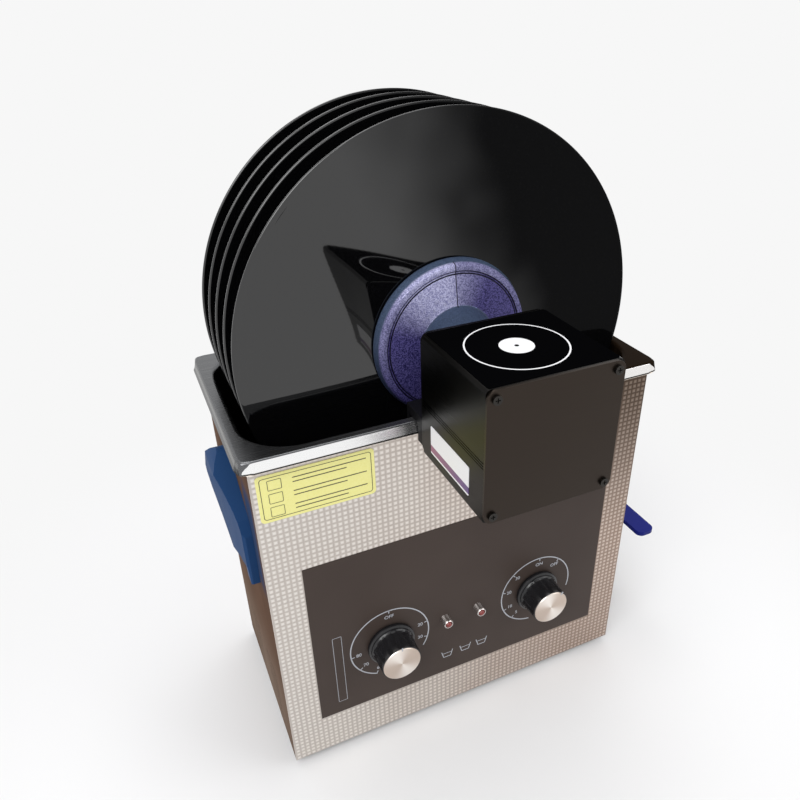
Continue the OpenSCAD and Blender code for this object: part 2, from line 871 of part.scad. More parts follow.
// The four places where the generator board stands on its pillars
module at_standoffs() {
    for (x = [-1, 1], y = [-1, 1])
        translate([board_pos[0] + x * (board_size[0] / 2 - board_hole_inset),
                   board_pos[1] + y * (board_size[1] / 2 - board_hole_inset), 0]) children();
}

module generator_board() {
    color([0.10, 0.38, 0.20]) {
        translate([board_pos[0], board_pos[1], board_z + board_size[2] / 2])
            cube(board_size, center = true);
        at_standoffs() translate([0, 0, flange_z]) cylinder(r = 3, h = standoff_h, $fn = 6);
    }
    color([0.20, 0.20, 0.24]) for (i = [0:2])
        translate([board_left + 2.5 * capacitor_r + i * capacitor_pitch,
                   board_front + 2.5 * capacitor_r, board_top])
            cylinder(r = capacitor_r, h = capacitor_h);
}

module heat_sink() {
    fins = 6;
    color([0.70, 0.70, 0.72]) translate([board_left + 15, board_pos[1] + 5, board_top]) {
        cube(sink_size);
        for (i = [0:fins - 1])
            translate([fin_inset + i * fin_pitch, sink_size[1], 0]) cube(fin_size);
    }
}

module output_transformer() {
    place = [board_pos[0] + core_size[0], board_pos[1] + 18, board_top];
    coil_h = core_size[2] - 2 * core_limb;
    color([0.22, 0.20, 0.20]) translate(place) {
        for (x = [-1, 1]) translate([x * (core_size[0] - core_limb) / 2, 0, core_size[2] / 2])
            cube([core_limb, core_size[1], core_size[2]], center = true);
        for (z = [core_limb / 2, core_size[2] - core_limb / 2]) translate([0, 0, z])
            cube([core_size[0] - 2 * core_limb, core_size[1], core_limb], center = true);
    }
    color([0.75, 0.42, 0.18]) translate(place + [0, 0, core_limb]) cylinder(r = coil_r, h = coil_h);
}

module mains_inlet() {
    depth = inlet_size[1];
    color(black) translate([inlet_pos[0], -front_y, inlet_pos[1]]) {
        difference() {
            union() {
                translate([0, inlet_flange[1] / 2, 0]) cube(inlet_flange, center = true);
                translate([0, -depth / 2, 0])
                    cube([inlet_size[0] - 0.4, depth, inlet_size[2] - 0.4], center = true);
            }
            translate([0, -depth / 2 + 4, 0])
                cube([inlet_size[0] - 3, depth + 4, inlet_size[2] - 3], center = true);
        }
    }
    color(bright) for (i = [-1:1])
        translate([inlet_pos[0] + i * 7, -front_y - depth + 2, inlet_pos[1] + (i == 0 ? 2 : -2)])
            translate([0, 7, 0]) cube([2, 14, 4], center = true);
}

// A wire along straight runs with round bends
module wire(points) {
    for (i = [0:len(points) - 2]) {
        run_v = points[i + 1] - points[i];
        length = norm(run_v);
        tilt = acos(run_v[2] / length);
        turn = atan2(run_v[1], run_v[0]);
        translate(points[i]) rotate([0, tilt, turn]) cylinder(r = wire_r, h = length, $fn = 24);
        if (i > 0) translate(points[i]) sphere(wire_r + 0.2, $fn = 24);
    }
}

module wiring_loom() {
    timer_back = front_y + sheet + timer_size[1];
    thermostat_back = front_y + sheet + thermostat_size[1];
    timer_x = dial_x - lead_in;
    timer_z = dial_z - timer_size[2] / 2 + lead_rise;
    heat_x = -dial_x - lead_in;
    heat_z = dial_z - thermostat_size[2] / 2 + lead_rise;
    inlet_end = board_back - 9;
    joint_x = board_right - wire_loop;
    lead_y = board_front + 11;
    color([0.65, 0.12, 0.12]) {
        for (i = [-1:1]) {
            x = i * transducer_pitch - bolt_head_r;
            end_x = min(joint_x, x);
            start_y = -mass_r + 4;
            wire([[x, start_y, mass_bottom], [x, start_y, mass_bottom - wire_loop],
                  [x, lead_y, mass_bottom - 2.5 * wire_loop],
                  [end_x, lead_y, board_top + wire_loop], [end_x, lead_y, board_top]]);
        }
        wire([[timer_x, timer_back, timer_z], [timer_x, timer_back + 4, timer_z],
              [timer_x, timer_back + 4, board_top + 2 * wire_loop],
              [joint_x - 8, board_front + 7, board_top + wire_loop],
              [joint_x - 8, board_front + 7, board_top]]);
        wire([[heat_x, thermostat_back, heat_z], [heat_x, thermostat_back + 5, heat_z],
              [heat_x, thermostat_back + 5, board_top]]);
        wire([[inlet_pos[0], -front_y - inlet_size[1], inlet_pos[1]],
              [inlet_pos[0], -front_y - inlet_size[1] - wire_loop, inlet_pos[1]],
              [joint_x, inlet_end, board_top + wire_loop], [joint_x, inlet_end, board_top]]);
    }
}

// Drain

module drain_pipe() {
    elbow_r = pipe_r + 2;
    color(bright) translate([drain_x, drain_y, 0]) difference() {
        union() {
            translate([0, 0, tank_under - 2]) cylinder(r = pipe_r + 4, h = 2);
            translate([0, 0, drain_z]) cylinder(r = pipe_r, h = tank_under - drain_z);
            translate([0, 0, drain_z]) sphere(elbow_r);
            translate([0, 0, drain_z]) bar_x(pipe_r, 0, valve_x0 + 10 - drain_x);
        }
        translate([0, 0, drain_z]) cylinder(r = drain_bore, h = tank_under - drain_z + cut);
        translate([0, 0, drain_z]) sphere(drain_bore);
        translate([0, 0, drain_z]) bar_x(drain_bore, 0, valve_x0 + 10 + cut - drain_x);
    }
}

module drain_nut() {
    nut_t = 5;
    color(bright) translate([0, drain_y, drain_z]) for (x = [side_x, side_x - sheet - nut_t])
        difference() {
            translate([x, 0, 0]) rotate([0, 90, 0]) cylinder(r = pipe_r + 5, h = nut_t, $fn = 6);
            bar_x(pipe_r, x - cut, x + nut_t + cut);
        }
}

// The valve's body runs out from the housing; the stem stands up on it
module valve_body() {
    end_l = 12;
    neck_h = 21;
    color([0.80, 0.72, 0.45]) translate([0, drain_y, drain_z]) difference() {
        union() {
            bar_x(valve_r - 1, valve_x0, valve_x1);
            translate([stem_x, 0, 0]) sphere(valve_r + 2);
            for (x = [valve_x0, valve_x1 - end_l]) translate([x, 0, 0]) rotate([0, 90, 0])
                cylinder(r = valve_r + 1, h = end_l, $fn = 6);
            translate([stem_x, 0, 0]) cylinder(r = 7, h = neck_h);
        }
        bar_x(drain_bore, valve_x0 - cut, valve_x1 + cut);
        bar_x(pipe_r, valve_x0 - cut, valve_x0 + 10);
        bar_x(pipe_r, valve_x1 - 10, valve_x1 + cut);
        translate([stem_x, 0, 0]) sphere(ball_r + run);
        translate([stem_x, 0, 0]) cylinder(r = stem_r + run, h = neck_h + cut);
    }
}

module valve_ball() {
    color(bright) translate([stem_x, drain_y, drain_z]) difference() {
        sphere(ball_r);
        rotate([0, 0, 90]) bar_x(drain_bore, -ball_r - cut, ball_r + cut);
        translate([0, 0, ball_r - 2]) cylinder(r = stem_r, h = ball_r);
    }
}

module valve_stem() {
    color(bright) translate([stem_x, drain_y, drain_z + ball_r - 2]) {
        cylinder(r = stem_r, h = lever_rise - lever_step + lever_t + 5 - ball_r + 2);
        translate([0, 0, lever_rise - lever_step + lever_t - ball_r + 2]) difference() {
            cylinder(r = 5.5, h = 3.5, $fn = 6);
            translate([0, 0, -cut]) cylinder(r = stem_r - 0.5, h = 3.5 + 2 * cut);
        }
    }
}

// The lever is a cranked strip: low at the stem, raised along the grip
module lever_strip() {
    low = lever_z - lever_step;
    rise_end = lever_crank + lever_step;
    tip = lever_l - 2;
    translate([stem_x, drain_y, 0]) rotate([90, 0, -90]) translate([0, 0, -lever_w / 2])
        linear_extrude(lever_w) polygon([
            [-lever_heel, low], [lever_crank, low], [rise_end, lever_z], [tip, lever_z],
            [tip, lever_z + lever_t], [rise_end, lever_z + lever_t],
            [lever_crank, low + lever_t], [-lever_heel, low + lever_t]]);
}

module valve_lever() {
    color(bright) difference() {
        lever_strip();
        translate([stem_x, drain_y, drain_z]) cylinder(r = stem_r, h = 2 * lever_rise);
    }
}

module lever_sleeve() {
    end_y = drain_y - lever_l;
    corner = 6;
    color([0.08, 0.10, 0.45]) difference() {
        translate([stem_x, end_y + sleeve_l / 2, lever_z + lever_t / 2 - sleeve_t / 2])
            linear_extrude(sleeve_t) union() {
                translate([0, corner / 2]) square([sleeve_w, sleeve_l - corner], center = true);
                translate([0, -sleeve_l / 2 + corner])
                    square([sleeve_w - 2 * corner, 2 * corner], center = true);
                for (x = [-1, 1]) translate([x * (sleeve_w / 2 - corner), -sleeve_l / 2 + corner])
                    circle(corner);
            }
        lever_strip();
    }
}

module hose_barb() {
    crests = 2;
    pitch = 3.2;
    color([0.80, 0.72, 0.45]) translate([0, drain_y, drain_z]) difference() {
        union() {
            bar_x(pipe_r, valve_x1 - 10, valve_x1);
            translate([valve_x1, 0, 0]) rotate([0, 90, 0]) cylinder(r = pipe_r + 3, h = 5, $fn = 6);
            bar_x(barb_r, valve_x1 + 5, valve_x1 + 5 + barb_l);
            for (i = [0:crests - 1]) translate([valve_x1 + 7 + i * pitch, 0, 0])
                rotate([0, 90, 0]) cylinder(r1 = barb_r + barb_crest, r2 = barb_r, h = 2.6);
        }
        bar_x(drain_bore - 1, valve_x1 - 10 - cut, valve_x1 + 5 + barb_l + cut);
    }
}

// Drive unit

// Outline of the motor box seen along Y, with small round corners
module box_outline(inset, r) {
    translate([(box_x0 + box_x1) / 2, 0]) rounded(box_w - 2 * inset, box_h - 2 * inset, r);
}

// The four screw places in a corner pattern, in X and Z
module at_box_corners() {
    for (x = [box_x0 + screw_inset, box_x1 - screw_inset],
         z = [box_z0 + screw_inset, box_z1 - screw_inset])
        translate([x, 0, z]) children();
}

// Whole box section: walls and four screw channels
module box_section() {
    rotate([90, 0, 0]) translate([0, box_mid, 0]) linear_extrude(shell_back - shell_front)
        difference() {
            union() {
                difference() {
                    box_outline(0, 3);
                    box_outline(box_t, 1);
                }
                for (x = [box_x0 + screw_inset, box_x1 - screw_inset], z = [-1, 1])
                    translate([x, z * (box_h / 2 - screw_inset)]) circle(boss_r);
            }
            for (x = [box_x0 + screw_inset, box_x1 - screw_inset], z = [-1, 1])
                translate([x, z * (box_h / 2 - screw_inset)]) circle(m3_r);
        }
}

// Half of the box, cut at the split line; side = 1 for the upper half
module box_half(side) {
    z0 = side > 0 ? box_mid : box_z0 - cut;
    z1 = side > 0 ? box_z1 + cut : box_mid;
    intersection() {
        translate([0, shell_back, 0]) box_section();
        block([box_x0 - cut, shell_front - cut, z0], [box_x1 + cut, shell_back + cut, z1]);
    }
}

module drive_case_top() {
    color(black) box_half(1);
}

module drive_case_bottom() {
    groove = 0.6;
    color(black) difference() {
        box_half(-1);
        for (i = [0:2], x = [box_x0, box_x1])
            translate([x, (shell_front + shell_back) / 2, box_mid - 2 - i * 1.8])
                cube([2 * groove, shell_back - shell_front + cut, 0.7], center = true);
        translate([0, jack_y, jack_z]) bar_x(jack_r, box_x1 - 2 * box_t, box_x1 + cut);
    }
}

// An end plate with its four corner holes, from y0 to y0 + plate_t
module end_plate(y0) {
    translate([0, y0 + plate_t, 0]) rotate([90, 0, 0]) translate([0, box_mid, 0])
        linear_extrude(plate_t) difference() {
            box_outline(0, plate_r);
            for (x = [box_x0 + screw_inset, box_x1 - screw_inset], z = [-1, 1])
                translate([x, z * (box_h / 2 - screw_inset)]) circle(m3_r);
        }
}

module front_plate() {
    color([0.22, 0.21, 0.20]) end_plate(box_front);
}

module back_plate() {
    color(black) difference() {
        end_plate(shell_back);
        translate([0, 0, spindle_z]) bar_y(bush_outer, shell_back - cut, box_back + cut);
        at_motor_screws() bar_y(m3_r, shell_back - cut, box_back + cut);
        at_saddle_screws() bar_y(m3_r, shell_back - cut, box_back + cut);
    }
}

module at_motor_screws() {
    for (i = [0:5]) rotate_about_motor(i * 60 + 30) children();
}

module rotate_about_motor(a) {
    translate([0, 0, motor_z]) rotate([0, a, 0]) translate([0, 0, motor_screw_circle]) children();
}

module at_saddle_screws() {
    for (x = [-1, 1]) translate([box_shift + x * (saddle_w / 2 - 10), 0, box_z0 + 12]) children();
}

// Hangs on the rim: a block in front of the lip, a bridge and an inner leg
module rim_saddle() {
    top = rim_z + saddle_t;
    color(black) difference() {
        translate([box_shift, 0, 0]) {
            block([-saddle_w / 2, box_back, box_z0], [saddle_w / 2, saddle_front, top]);
            block([-saddle_w / 2, saddle_front - cut, rim_z],
                  [saddle_w / 2, saddle_in + saddle_leg, top]);
            block([-saddle_w / 2, saddle_in, rim_z - saddle_reach],
                  [saddle_w / 2, saddle_in + saddle_leg, top]);
        }
        translate([0, 0, spindle_z]) bar_y(hub_r + 3, box_back - cut, saddle_in + 2 * saddle_leg);
        at_saddle_screws() bar_y(m3_r, box_back - cut, box_back + m3_l);
        at_box_corners()
            bar_y(m3_head_r + 0.4, box_back - cut, box_back + m3_head_h + 0.5);
    }
}

// All the small machine screws of the drive unit
module drive_screws() {
    motor_screw_l = plate_t + 4;
    color([0.45, 0.45, 0.47]) {
        at_box_corners() translate([0, box_front, 0]) rotate([-90, 0, 0])
            screw(m3_r, m3_l, m3_head_r, m3_head_h);
        at_box_corners() translate([0, box_back, 0]) rotate([90, 0, 0])
            screw(m3_r, m3_l, m3_head_r, m3_head_h);
        at_motor_screws() translate([0, box_back, 0]) rotate([90, 0, 0])
            screw(m3_r, motor_screw_l, m3_head_r, m3_head_h);
        at_saddle_screws() translate([0, shell_back, 0]) rotate([-90, 0, 0])
            screw(m3_r, m3_l, m3_head_r, m3_head_h);
    }
}

module drive_labels() {
    top_w = box_w - 4;
    top_d = box_d - 2 * plate_t - 2;
    side_w = 51;
    side_h = 20;
    color([0.05, 0.05, 0.06]) translate([(box_x0 + box_x1) / 2, (box_front + box_back) / 2, box_z1])
        linear_extrude(label_t) rounded(top_w, top_d, 2);
    color([0.92, 0.92, 0.94]) translate([box_x0, shell_front + 16 + side_w / 2, box_z0 + 19])
        rotate([90, 0, -90]) linear_extrude(label_t) rounded(side_w, side_h, 1);
}

module gear_motor() {
    body_r = motor_r - 2;
    color([0.72, 0.72, 0.74]) translate([0, 0, motor_z]) difference() {
        union() {
            bar_y(motor_r, shell_back - gearbox_l, shell_back);
            bar_y(body_r, shell_back - gearbox_l - motor_l, shell_back - gearbox_l);
            bar_y(4, shell_back - gearbox_l - motor_l - 3, shell_back - gearbox_l - motor_l);
            for (x = [-1, 1]) translate([x * 8, 0, 0])
                block([-0.4, shell_back - gearbox_l - motor_l - 7, -2],
                      [0.4, shell_back - gearbox_l - motor_l, 2]);
        }
        translate([0, 0, motor_offset]) bar_y(bush_outer, shell_back - bush_len, shell_back + cut);
        translate([0, 0, motor_offset])
            bar_y(motor_shaft_r + run, shell_back - gearbox_l + 4, shell_back);
        for (i = [0:5]) rotate([0, i * 60 + 30, 0]) translate([0, 0, motor_screw_circle])
            bar_y(m3_r, shell_back - 4, shell_back + cut);
    }
}

// Bronze bush in the gearbox nose, flush with the back plate's outer face
module shaft_bush() {
    color([0.75, 0.55, 0.28]) translate([0, 0, spindle_z]) difference() {
        bar_y(bush_outer, shell_back - bush_len, box_back);
        bar_y(motor_shaft_r + run, shell_back - bush_len - cut, box_back + cut);
    }
}

module dc_jack() {
    color(black) translate([0, jack_y, jack_z]) difference() {
        union() {
            bar_x(jack_r, box_x1 - jack_l, box_x1);
            bar_x(jack_r + 2, box_x1, box_x1 + 1.5);
        }
        bar_x(jack_bore, box_x1 - jack_l + 3, box_x1 + 1.5 + cut);
    }
    color(bright) translate([0, jack_y, jack_z]) bar_x(1, box_x1 - jack_l + 3, box_x1 - 1);
}

// Spindle and records, from the motor to the nut

module motor_shaft() {
    color(bright) translate([0, 0, spindle_z])
        bar_y(motor_shaft_r, shell_back - gearbox_l + 4, hub_start + hub_socket);
}

module spindle_rod() {
    color(bright) translate([0, 0, spindle_z]) {
        bar_y(rod_r, rod_start, tip_y);
        bar_y(tip_r, tip_y - cut, rod_end);
    }
}

// Groove pair near a clamping disc's edge, depth along y
module face_grooves(y) {
    for (r = [clamp_r - 8.6, clamp_r - 7.4]) turn_y(y)
        translate([r - 0.35, 0]) square([0.7, 0.8]);
}

// The inner clamping disc with its hub, printed in one piece
module clamp_hub() {
    back = clamp_back - hub_start;
    face = clamp_front - hub_start;
    color(purple) translate([0, 0, spindle_z]) difference() {
        turn_y(hub_start) polygon([
            [0, 0], [hub_tip_r - 1, 0], [hub_tip_r, 1], [hub_r, face - hub_cone],
            [clamp_r - 9, face], [clamp_r - 3.5, face], [clamp_r - 2.5, face + 1],
            [clamp_r, back - 2], [clamp_r, back], [0, back]]);
        face_grooves(clamp_front - cut + 0.2);
        bar_y(motor_shaft_r, hub_start - cut, hub_start + hub_socket);
        bar_y(rod_r, rod_start, clamp_back + cut);
    }
}

// A record: raised edge and label, thinner across the grooves
module record(i) {
    bead = 3.5;
    step = (record_t - groove_t) / 2;
    color(black) translate([0, 0, spindle_z]) turn_y(record_y + i * record_pitch)
        polygon([[hole_r, 0], [label_r + 3, 0], [label_r + 4, step],
                 [record_r - bead - 0.6, step], [record_r - bead, 0], [record_r - 0.5, 0],
                 [record_r, 0.6], [record_r, record_t - 0.6], [record_r - 0.5, record_t],
                 [record_r - bead, record_t], [record_r - bead - 0.6, record_t - step],
                 [label_r + 4, record_t - step], [label_r + 3, record_t], [hole_r, record_t]]);
}

module record_1() { record(0); }
module record_2() { record(1); }
module record_3() { record(2); }
module record_4() { record(3); }
module record_5() { record(4); }

// A bobbin between two records that keeps water off their labels
module spacers() {
    color(purple) for (i = [0:3]) translate([0, 0, spindle_z])
        turn_y(record_y + i * record_pitch + record_t + seal_t)
            polygon([[hole_r, 0], [clamp_r - 1, 0], [clamp_r, 1], [clamp_r, spacer_flange - 1],
                     [clamp_r - 1, spacer_flange], [spacer_core_r, spacer_flange + 2],
                     [spacer_core_r, spacer_l - spacer_flange - 2],
                     [clamp_r - 1, spacer_l - spacer_flange], [clamp_r, spacer_l - spacer_flange + 1],
                     [clamp_r, spacer_l - 1], [clamp_r - 1, spacer_l], [hole_r, spacer_l]]);
}

// Flat rubber rings that seal each label on both faces
module label_seals() {
    color([0.10, 0.10, 0.10]) for (i = [0:4], s = [0, 1]) translate([0, 0, spindle_z])
        turn_y(record_y + i * record_pitch + (s == 0 ? -seal_t : record_t))
            translate([seal_in, 0]) square([seal_r - seal_in, seal_t]);
}

module outer_clamp() {
    color(purple) translate([0, 0, spindle_z]) difference() {
        turn_y(outer_y) polygon([
            [0, 0], [clamp_r, 0], [clamp_r, 2], [clamp_r - 2.5, outer_l - 4],
            [clamp_r - 3.5, outer_l - 3], [clamp_r - 9, outer_l - 3], [nut_r + 4, outer_l],
            [0, outer_l]]);
        bar_y(hole_r, outer_y - cut, nut_y + cut);
    }
}

// Knurled nut: scalloped grip around a plain bore over the spindle's thread
module clamp_nut() {
    scallops = 18;
    color([0.70, 0.70, 0.72]) translate([0, 0, spindle_z]) difference() {
        turn_y(nut_y) polygon([
            [0, 0], [nut_r - 1, 0], [nut_r, 1], [nut_r, nut_l - 1], [nut_r - 1, nut_l], [0, nut_l]]);
        for (i = [0:scallops - 1]) rotate([0, i * 360 / scallops, 0])
            translate([nut_r + 0.6, 0, 0]) bar_y(1.5, nut_y - cut, nut_y + nut_l + cut);
        bar_y(rod_r + run, nut_y - cut, nut_y + nut_l + cut);
    }
}

tank();
front_panel();
case_wrap();
base_plate();
rubber_feet();
case_screws();
handle_left();
handle_right();
control_panel();
notice_label();
thermostat();
thermostat_bulb();
timer();
pilot_bezels();
pilot_lenses();
transducer_horns();
transducer_ceramics();
transducer_masses();
heater_pads();
generator_board();
heat_sink();
output_transformer();
mains_inlet();
wiring_loom();
drain_pipe();
drain_nut();
valve_body();
hose_barb();
valve_ball();
valve_stem();
valve_lever();
lever_sleeve();
thermostat_shaft();
thermostat_knob();
thermostat_cap();
timer_shaft();
timer_knob();
timer_cap();
rim_saddle();
drive_case_top();
drive_case_bottom();
front_plate();
back_plate();
drive_screws();
drive_labels();
gear_motor();
shaft_bush();
dc_jack();
motor_shaft();
spindle_rod();
clamp_hub();
record_1();
record_2();
record_3();
record_4();
record_5();
spacers();
label_seals();
outer_clamp();
clamp_nut();
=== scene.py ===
# %% [markdown]
# # A record cleaning machine, dressed
# A stainless-steel ultrasonic bath with a motor box on its rim turns five
# records through the water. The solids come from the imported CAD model. Here
# they get their real surfaces, and the pieces that a solid can't show.
# All building below is in millimetres, as in the CAD source.

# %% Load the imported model
import json
import math

import bmesh
import bpy
from mathutils import Matrix, Vector

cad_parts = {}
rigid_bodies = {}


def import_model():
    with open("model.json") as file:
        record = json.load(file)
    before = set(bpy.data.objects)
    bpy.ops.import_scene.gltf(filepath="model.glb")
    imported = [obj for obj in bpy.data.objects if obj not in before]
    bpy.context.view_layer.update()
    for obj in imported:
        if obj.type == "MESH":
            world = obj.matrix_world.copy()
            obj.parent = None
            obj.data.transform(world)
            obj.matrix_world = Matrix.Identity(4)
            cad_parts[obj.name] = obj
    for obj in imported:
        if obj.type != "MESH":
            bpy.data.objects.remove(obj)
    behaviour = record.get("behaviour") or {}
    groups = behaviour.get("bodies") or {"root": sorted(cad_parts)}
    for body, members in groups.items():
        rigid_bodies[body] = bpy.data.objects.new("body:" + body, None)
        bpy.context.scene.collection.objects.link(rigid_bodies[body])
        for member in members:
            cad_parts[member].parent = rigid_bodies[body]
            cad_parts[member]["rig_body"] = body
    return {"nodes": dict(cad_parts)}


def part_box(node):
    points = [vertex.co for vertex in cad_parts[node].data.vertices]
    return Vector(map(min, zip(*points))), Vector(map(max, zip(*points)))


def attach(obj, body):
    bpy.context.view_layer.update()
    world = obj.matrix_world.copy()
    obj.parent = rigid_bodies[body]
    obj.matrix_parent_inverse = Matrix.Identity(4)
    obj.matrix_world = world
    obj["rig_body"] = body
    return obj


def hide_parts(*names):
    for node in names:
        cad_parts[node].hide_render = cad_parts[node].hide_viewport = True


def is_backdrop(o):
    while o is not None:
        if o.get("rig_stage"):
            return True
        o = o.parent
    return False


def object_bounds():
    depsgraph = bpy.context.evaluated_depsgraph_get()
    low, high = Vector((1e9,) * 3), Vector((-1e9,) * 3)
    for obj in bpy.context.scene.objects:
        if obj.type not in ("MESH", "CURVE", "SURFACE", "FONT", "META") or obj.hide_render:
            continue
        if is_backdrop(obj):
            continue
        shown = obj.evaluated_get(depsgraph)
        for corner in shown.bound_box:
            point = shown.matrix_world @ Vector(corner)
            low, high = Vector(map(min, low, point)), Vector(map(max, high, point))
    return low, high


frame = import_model()
nodes = frame["nodes"]
cad_low, cad_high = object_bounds()
print("CAD box, mm:", [round(1000 * v) for v in (*cad_low, *cad_high)])

# %% [markdown]
# ## The camera
# A photograph is repeated only from its own place. The camera's place was
# solved from points whose real position is known: the corners of the housing
# and of the box, and the edge of a 12-inch record. A small roll and shift are
# the photographer's tilt and the cropping of the picture.

# %% Camera
azimuth, elevation, roll = (math.radians(v) for v in (-23.94, 30.42, -1.16))
ahead = Vector((-math.sin(azimuth) * math.cos(elevation),
                math.cos(azimuth) * math.cos(elevation), -math.sin(elevation)))
level = Vector((math.cos(azimuth), math.sin(azimuth), 0))
rise = level.cross(ahead)
right = level * math.cos(roll) + rise * math.sin(roll)
up = rise * math.cos(roll) - level * math.sin(roll)
camera = bpy.data.objects.new("camera", bpy.data.cameras.new("camera"))
bpy.context.scene.collection.objects.link(camera)
camera.matrix_world = Matrix.Translation((-0.20387, -0.45999, 0.55798)) @ Matrix(
    (right, up, -ahead)).transposed().to_4x4()
camera.data.lens = 36 * 709.25 / 800
camera.data.shift_x = -0.0281
camera.data.shift_y = 0.0144
camera.data.clip_start, camera.data.clip_end = 0.02, 50
bpy.context.scene.camera = camera
print("lens, mm:", round(camera.data.lens, 1))

# %% [markdown]
# ## Shader maths as Python
# A procedural material is a small formula over a place on the surface. This
# class holds one output of a node, and Python's operators add Math nodes, so
# that the formulas below can be read as formulas.

# %% The socket class
class Wire:
    """One output in a node tree. Operators on it make Math nodes."""

    def __init__(self, tree, socket=None):
        self.tree = tree
        self.socket = socket

    def node(self, kind, inputs=(), out=0, **settings):
        """Make any other node: its settings first, then its inputs."""
        made = self.tree.nodes.new(kind)
        for name, value in settings.items():
            setattr(made, name, value)
        for name, value in dict(inputs).items():
            if isinstance(value, Wire):
                self.tree.links.new(value.socket, made.inputs[name])
            else:
                made.inputs[name].default_value = value
        return Wire(self.tree, made.outputs[out])

    def math(self, operation, *others):
        """A Math node that starts from this wire, such as SINE or MAXIMUM."""
        return self.node("ShaderNodeMath", enumerate((self, *others)), operation=operation)

    def __add__(self, other):
        return self.math("ADD", other)

    __radd__ = __add__

    def __sub__(self, other):
        return self.math("SUBTRACT", other)

    def __rsub__(self, other):
        return self.math("SUBTRACT", other) * -1

    def __mul__(self, other):
        return self.math("MULTIPLY", other)

    __rmul__ = __mul__

    def __truediv__(self, other):
        return self.math("DIVIDE", other)

    def __pow__(self, other):
        return self.math("POWER", other)

    def __gt__(self, other):
        return self.math("GREATER_THAN", other)

    def __lt__(self, other):
        return self.math("LESS_THAN", other)

    def ramp(self, low, high):
        """0 below low, 1 above high, smooth between."""
        return self.node("ShaderNodeMapRange", {0: self, 1: low, 2: high, 3: 0.0, 4: 1.0},
                         interpolation_type="SMOOTHSTEP")

    def xyz(self):
        return [self.node("ShaderNodeSeparateXYZ", {0: self}, out=i) for i in range(3)]


def material(name):
    """A new material, as the Wire that its formulas start from."""
    made = bpy.data.materials.new(name)
    made.use_nodes = True
    return Wire(made.node_tree), made


def dress(start, **values):
    """Set or link the inputs of the material's own shader."""
    shader = start.tree.nodes["Principled BSDF"]
    for name, value in values.items():
        socket = shader.inputs[name.replace("_", " ")]
        if isinstance(value, Wire):
            start.tree.links.new(value.socket, socket)
        else:
            socket.default_value = value


def place(start, stretch=(1, 1, 1)):
    """The point on the piece in millimetres, stretched along the axes."""
    point = start.node("ShaderNodeTexCoord", out="Object")
    return start.node("ShaderNodeVectorMath",
                      {0: point, 1: [1000 * s for s in stretch]}, operation="MULTIPLY")


def noise(point, scale=1.0, detail=3.0, rough=0.55):
    return point.node("ShaderNodeTexNoise", {"Vector": point, "Scale": scale,
                      "Detail": detail, "Roughness": rough})


def mix(amount, first, second):
    """Blend two colours by a number."""
    start = amount if isinstance(amount, Wire) else first
    return start.node("ShaderNodeMix", {0: amount, 6: first, 7: second}, out=2,
                      data_type="RGBA")


def bump(height, strength=0.3, distance=0.1):
    """A normal from a height; distance is in millimetres."""
    return height.node("ShaderNodeBump", {"Strength": strength,
                       "Distance": distance / 1000, "Height": height})


def ink(red, green, blue, light=1.0):
    """A screen colour, 0 to 255, as the linear values a shader takes."""
    parts = [c / 255 for c in (red, green, blue)]
    return [light * (c / 12.92 if c < 0.04 else ((c + 0.055) / 1.055) ** 2.4)
            for c in parts] + [1.0]


print("white as written:", [round(v, 2) for v in ink(247, 247, 247)])

# %% [markdown]
# ## The studio
# Soft daylight from the left and above, a white surrounding that the bright
# metal can mirror, and a pale floor that keeps the shadow. The light's level is
# set so that a colour in a material comes out about as it is written.

# %% World, floor and lights
world = bpy.data.worlds.new("studio")
world.use_nodes = True
bpy.context.scene.world = world
sky = Wire(world.node_tree)
seen = sky.node("ShaderNodeLightPath", out="Is Camera Ray")
mirrored = sky.node("ShaderNodeLightPath", out="Is Glossy Ray")
passed = sky.node("ShaderNodeLightPath", out="Is Transmission Ray")
direct = seen.math("MAXIMUM", mirrored.math("MAXIMUM", passed))
glow = sky.node("ShaderNodeBackground", {"Color": ink(247, 247, 247), "Strength": 1.0})
fill = sky.node("ShaderNodeBackground", {"Color": ink(247, 247, 250), "Strength": 0.55})
both = sky.node("ShaderNodeMixShader", {0: direct, 1: fill, 2: glow})
world.node_tree.links.new(both.socket, world.node_tree.nodes["World Output"].inputs[0])

floor_mesh = bpy.data.meshes.new("floor")
bm = bmesh.new()
bmesh.ops.create_grid(bm, x_segments=1, y_segments=1, size=6)
bm.to_mesh(floor_mesh)
bm.free()
floor = bpy.data.objects.new("floor", floor_mesh)
bpy.context.scene.collection.objects.link(floor)
floor_wire, floor_paper = material("pale_floor")
spot = floor_wire.node("ShaderNodeTexCoord", out="Object")
reach = spot.node("ShaderNodeVectorMath", {0: spot}, out="Value", operation="LENGTH")
far = reach.ramp(0.22, 0.6)
dress(floor_wire, Base_Color=mix(far, ink(234, 234, 234), ink(0, 0, 0)), Roughness=0.9,
      Specular_IOR_Level=0.0, Emission_Strength=1.0,
      Emission_Color=mix(far, ink(0, 0, 0), ink(247, 247, 247)))
floor_mesh.materials.append(floor_paper)
floor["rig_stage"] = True

for name, where, size, power in (
        ("key", (-1.5, -1.3, 2.1), 1.8, 46), ("side", (1.9, -1.2, 1.5), 1.6, 16),
        ("top", (0.2, 0.6, 2.4), 1.8, 22)):
    lamp = bpy.data.lights.new(name, "AREA")
    lamp.size = size
    lamp.energy = power
    held = bpy.data.objects.new(name, lamp)
    bpy.context.scene.collection.objects.link(held)
    held.location = where
    held.rotation_euler = (Vector((0, 0, 0.25)) - held.location).to_track_quat(
        "-Z", "Y").to_euler()
bpy.context.scene.view_settings.view_transform = "Standard"

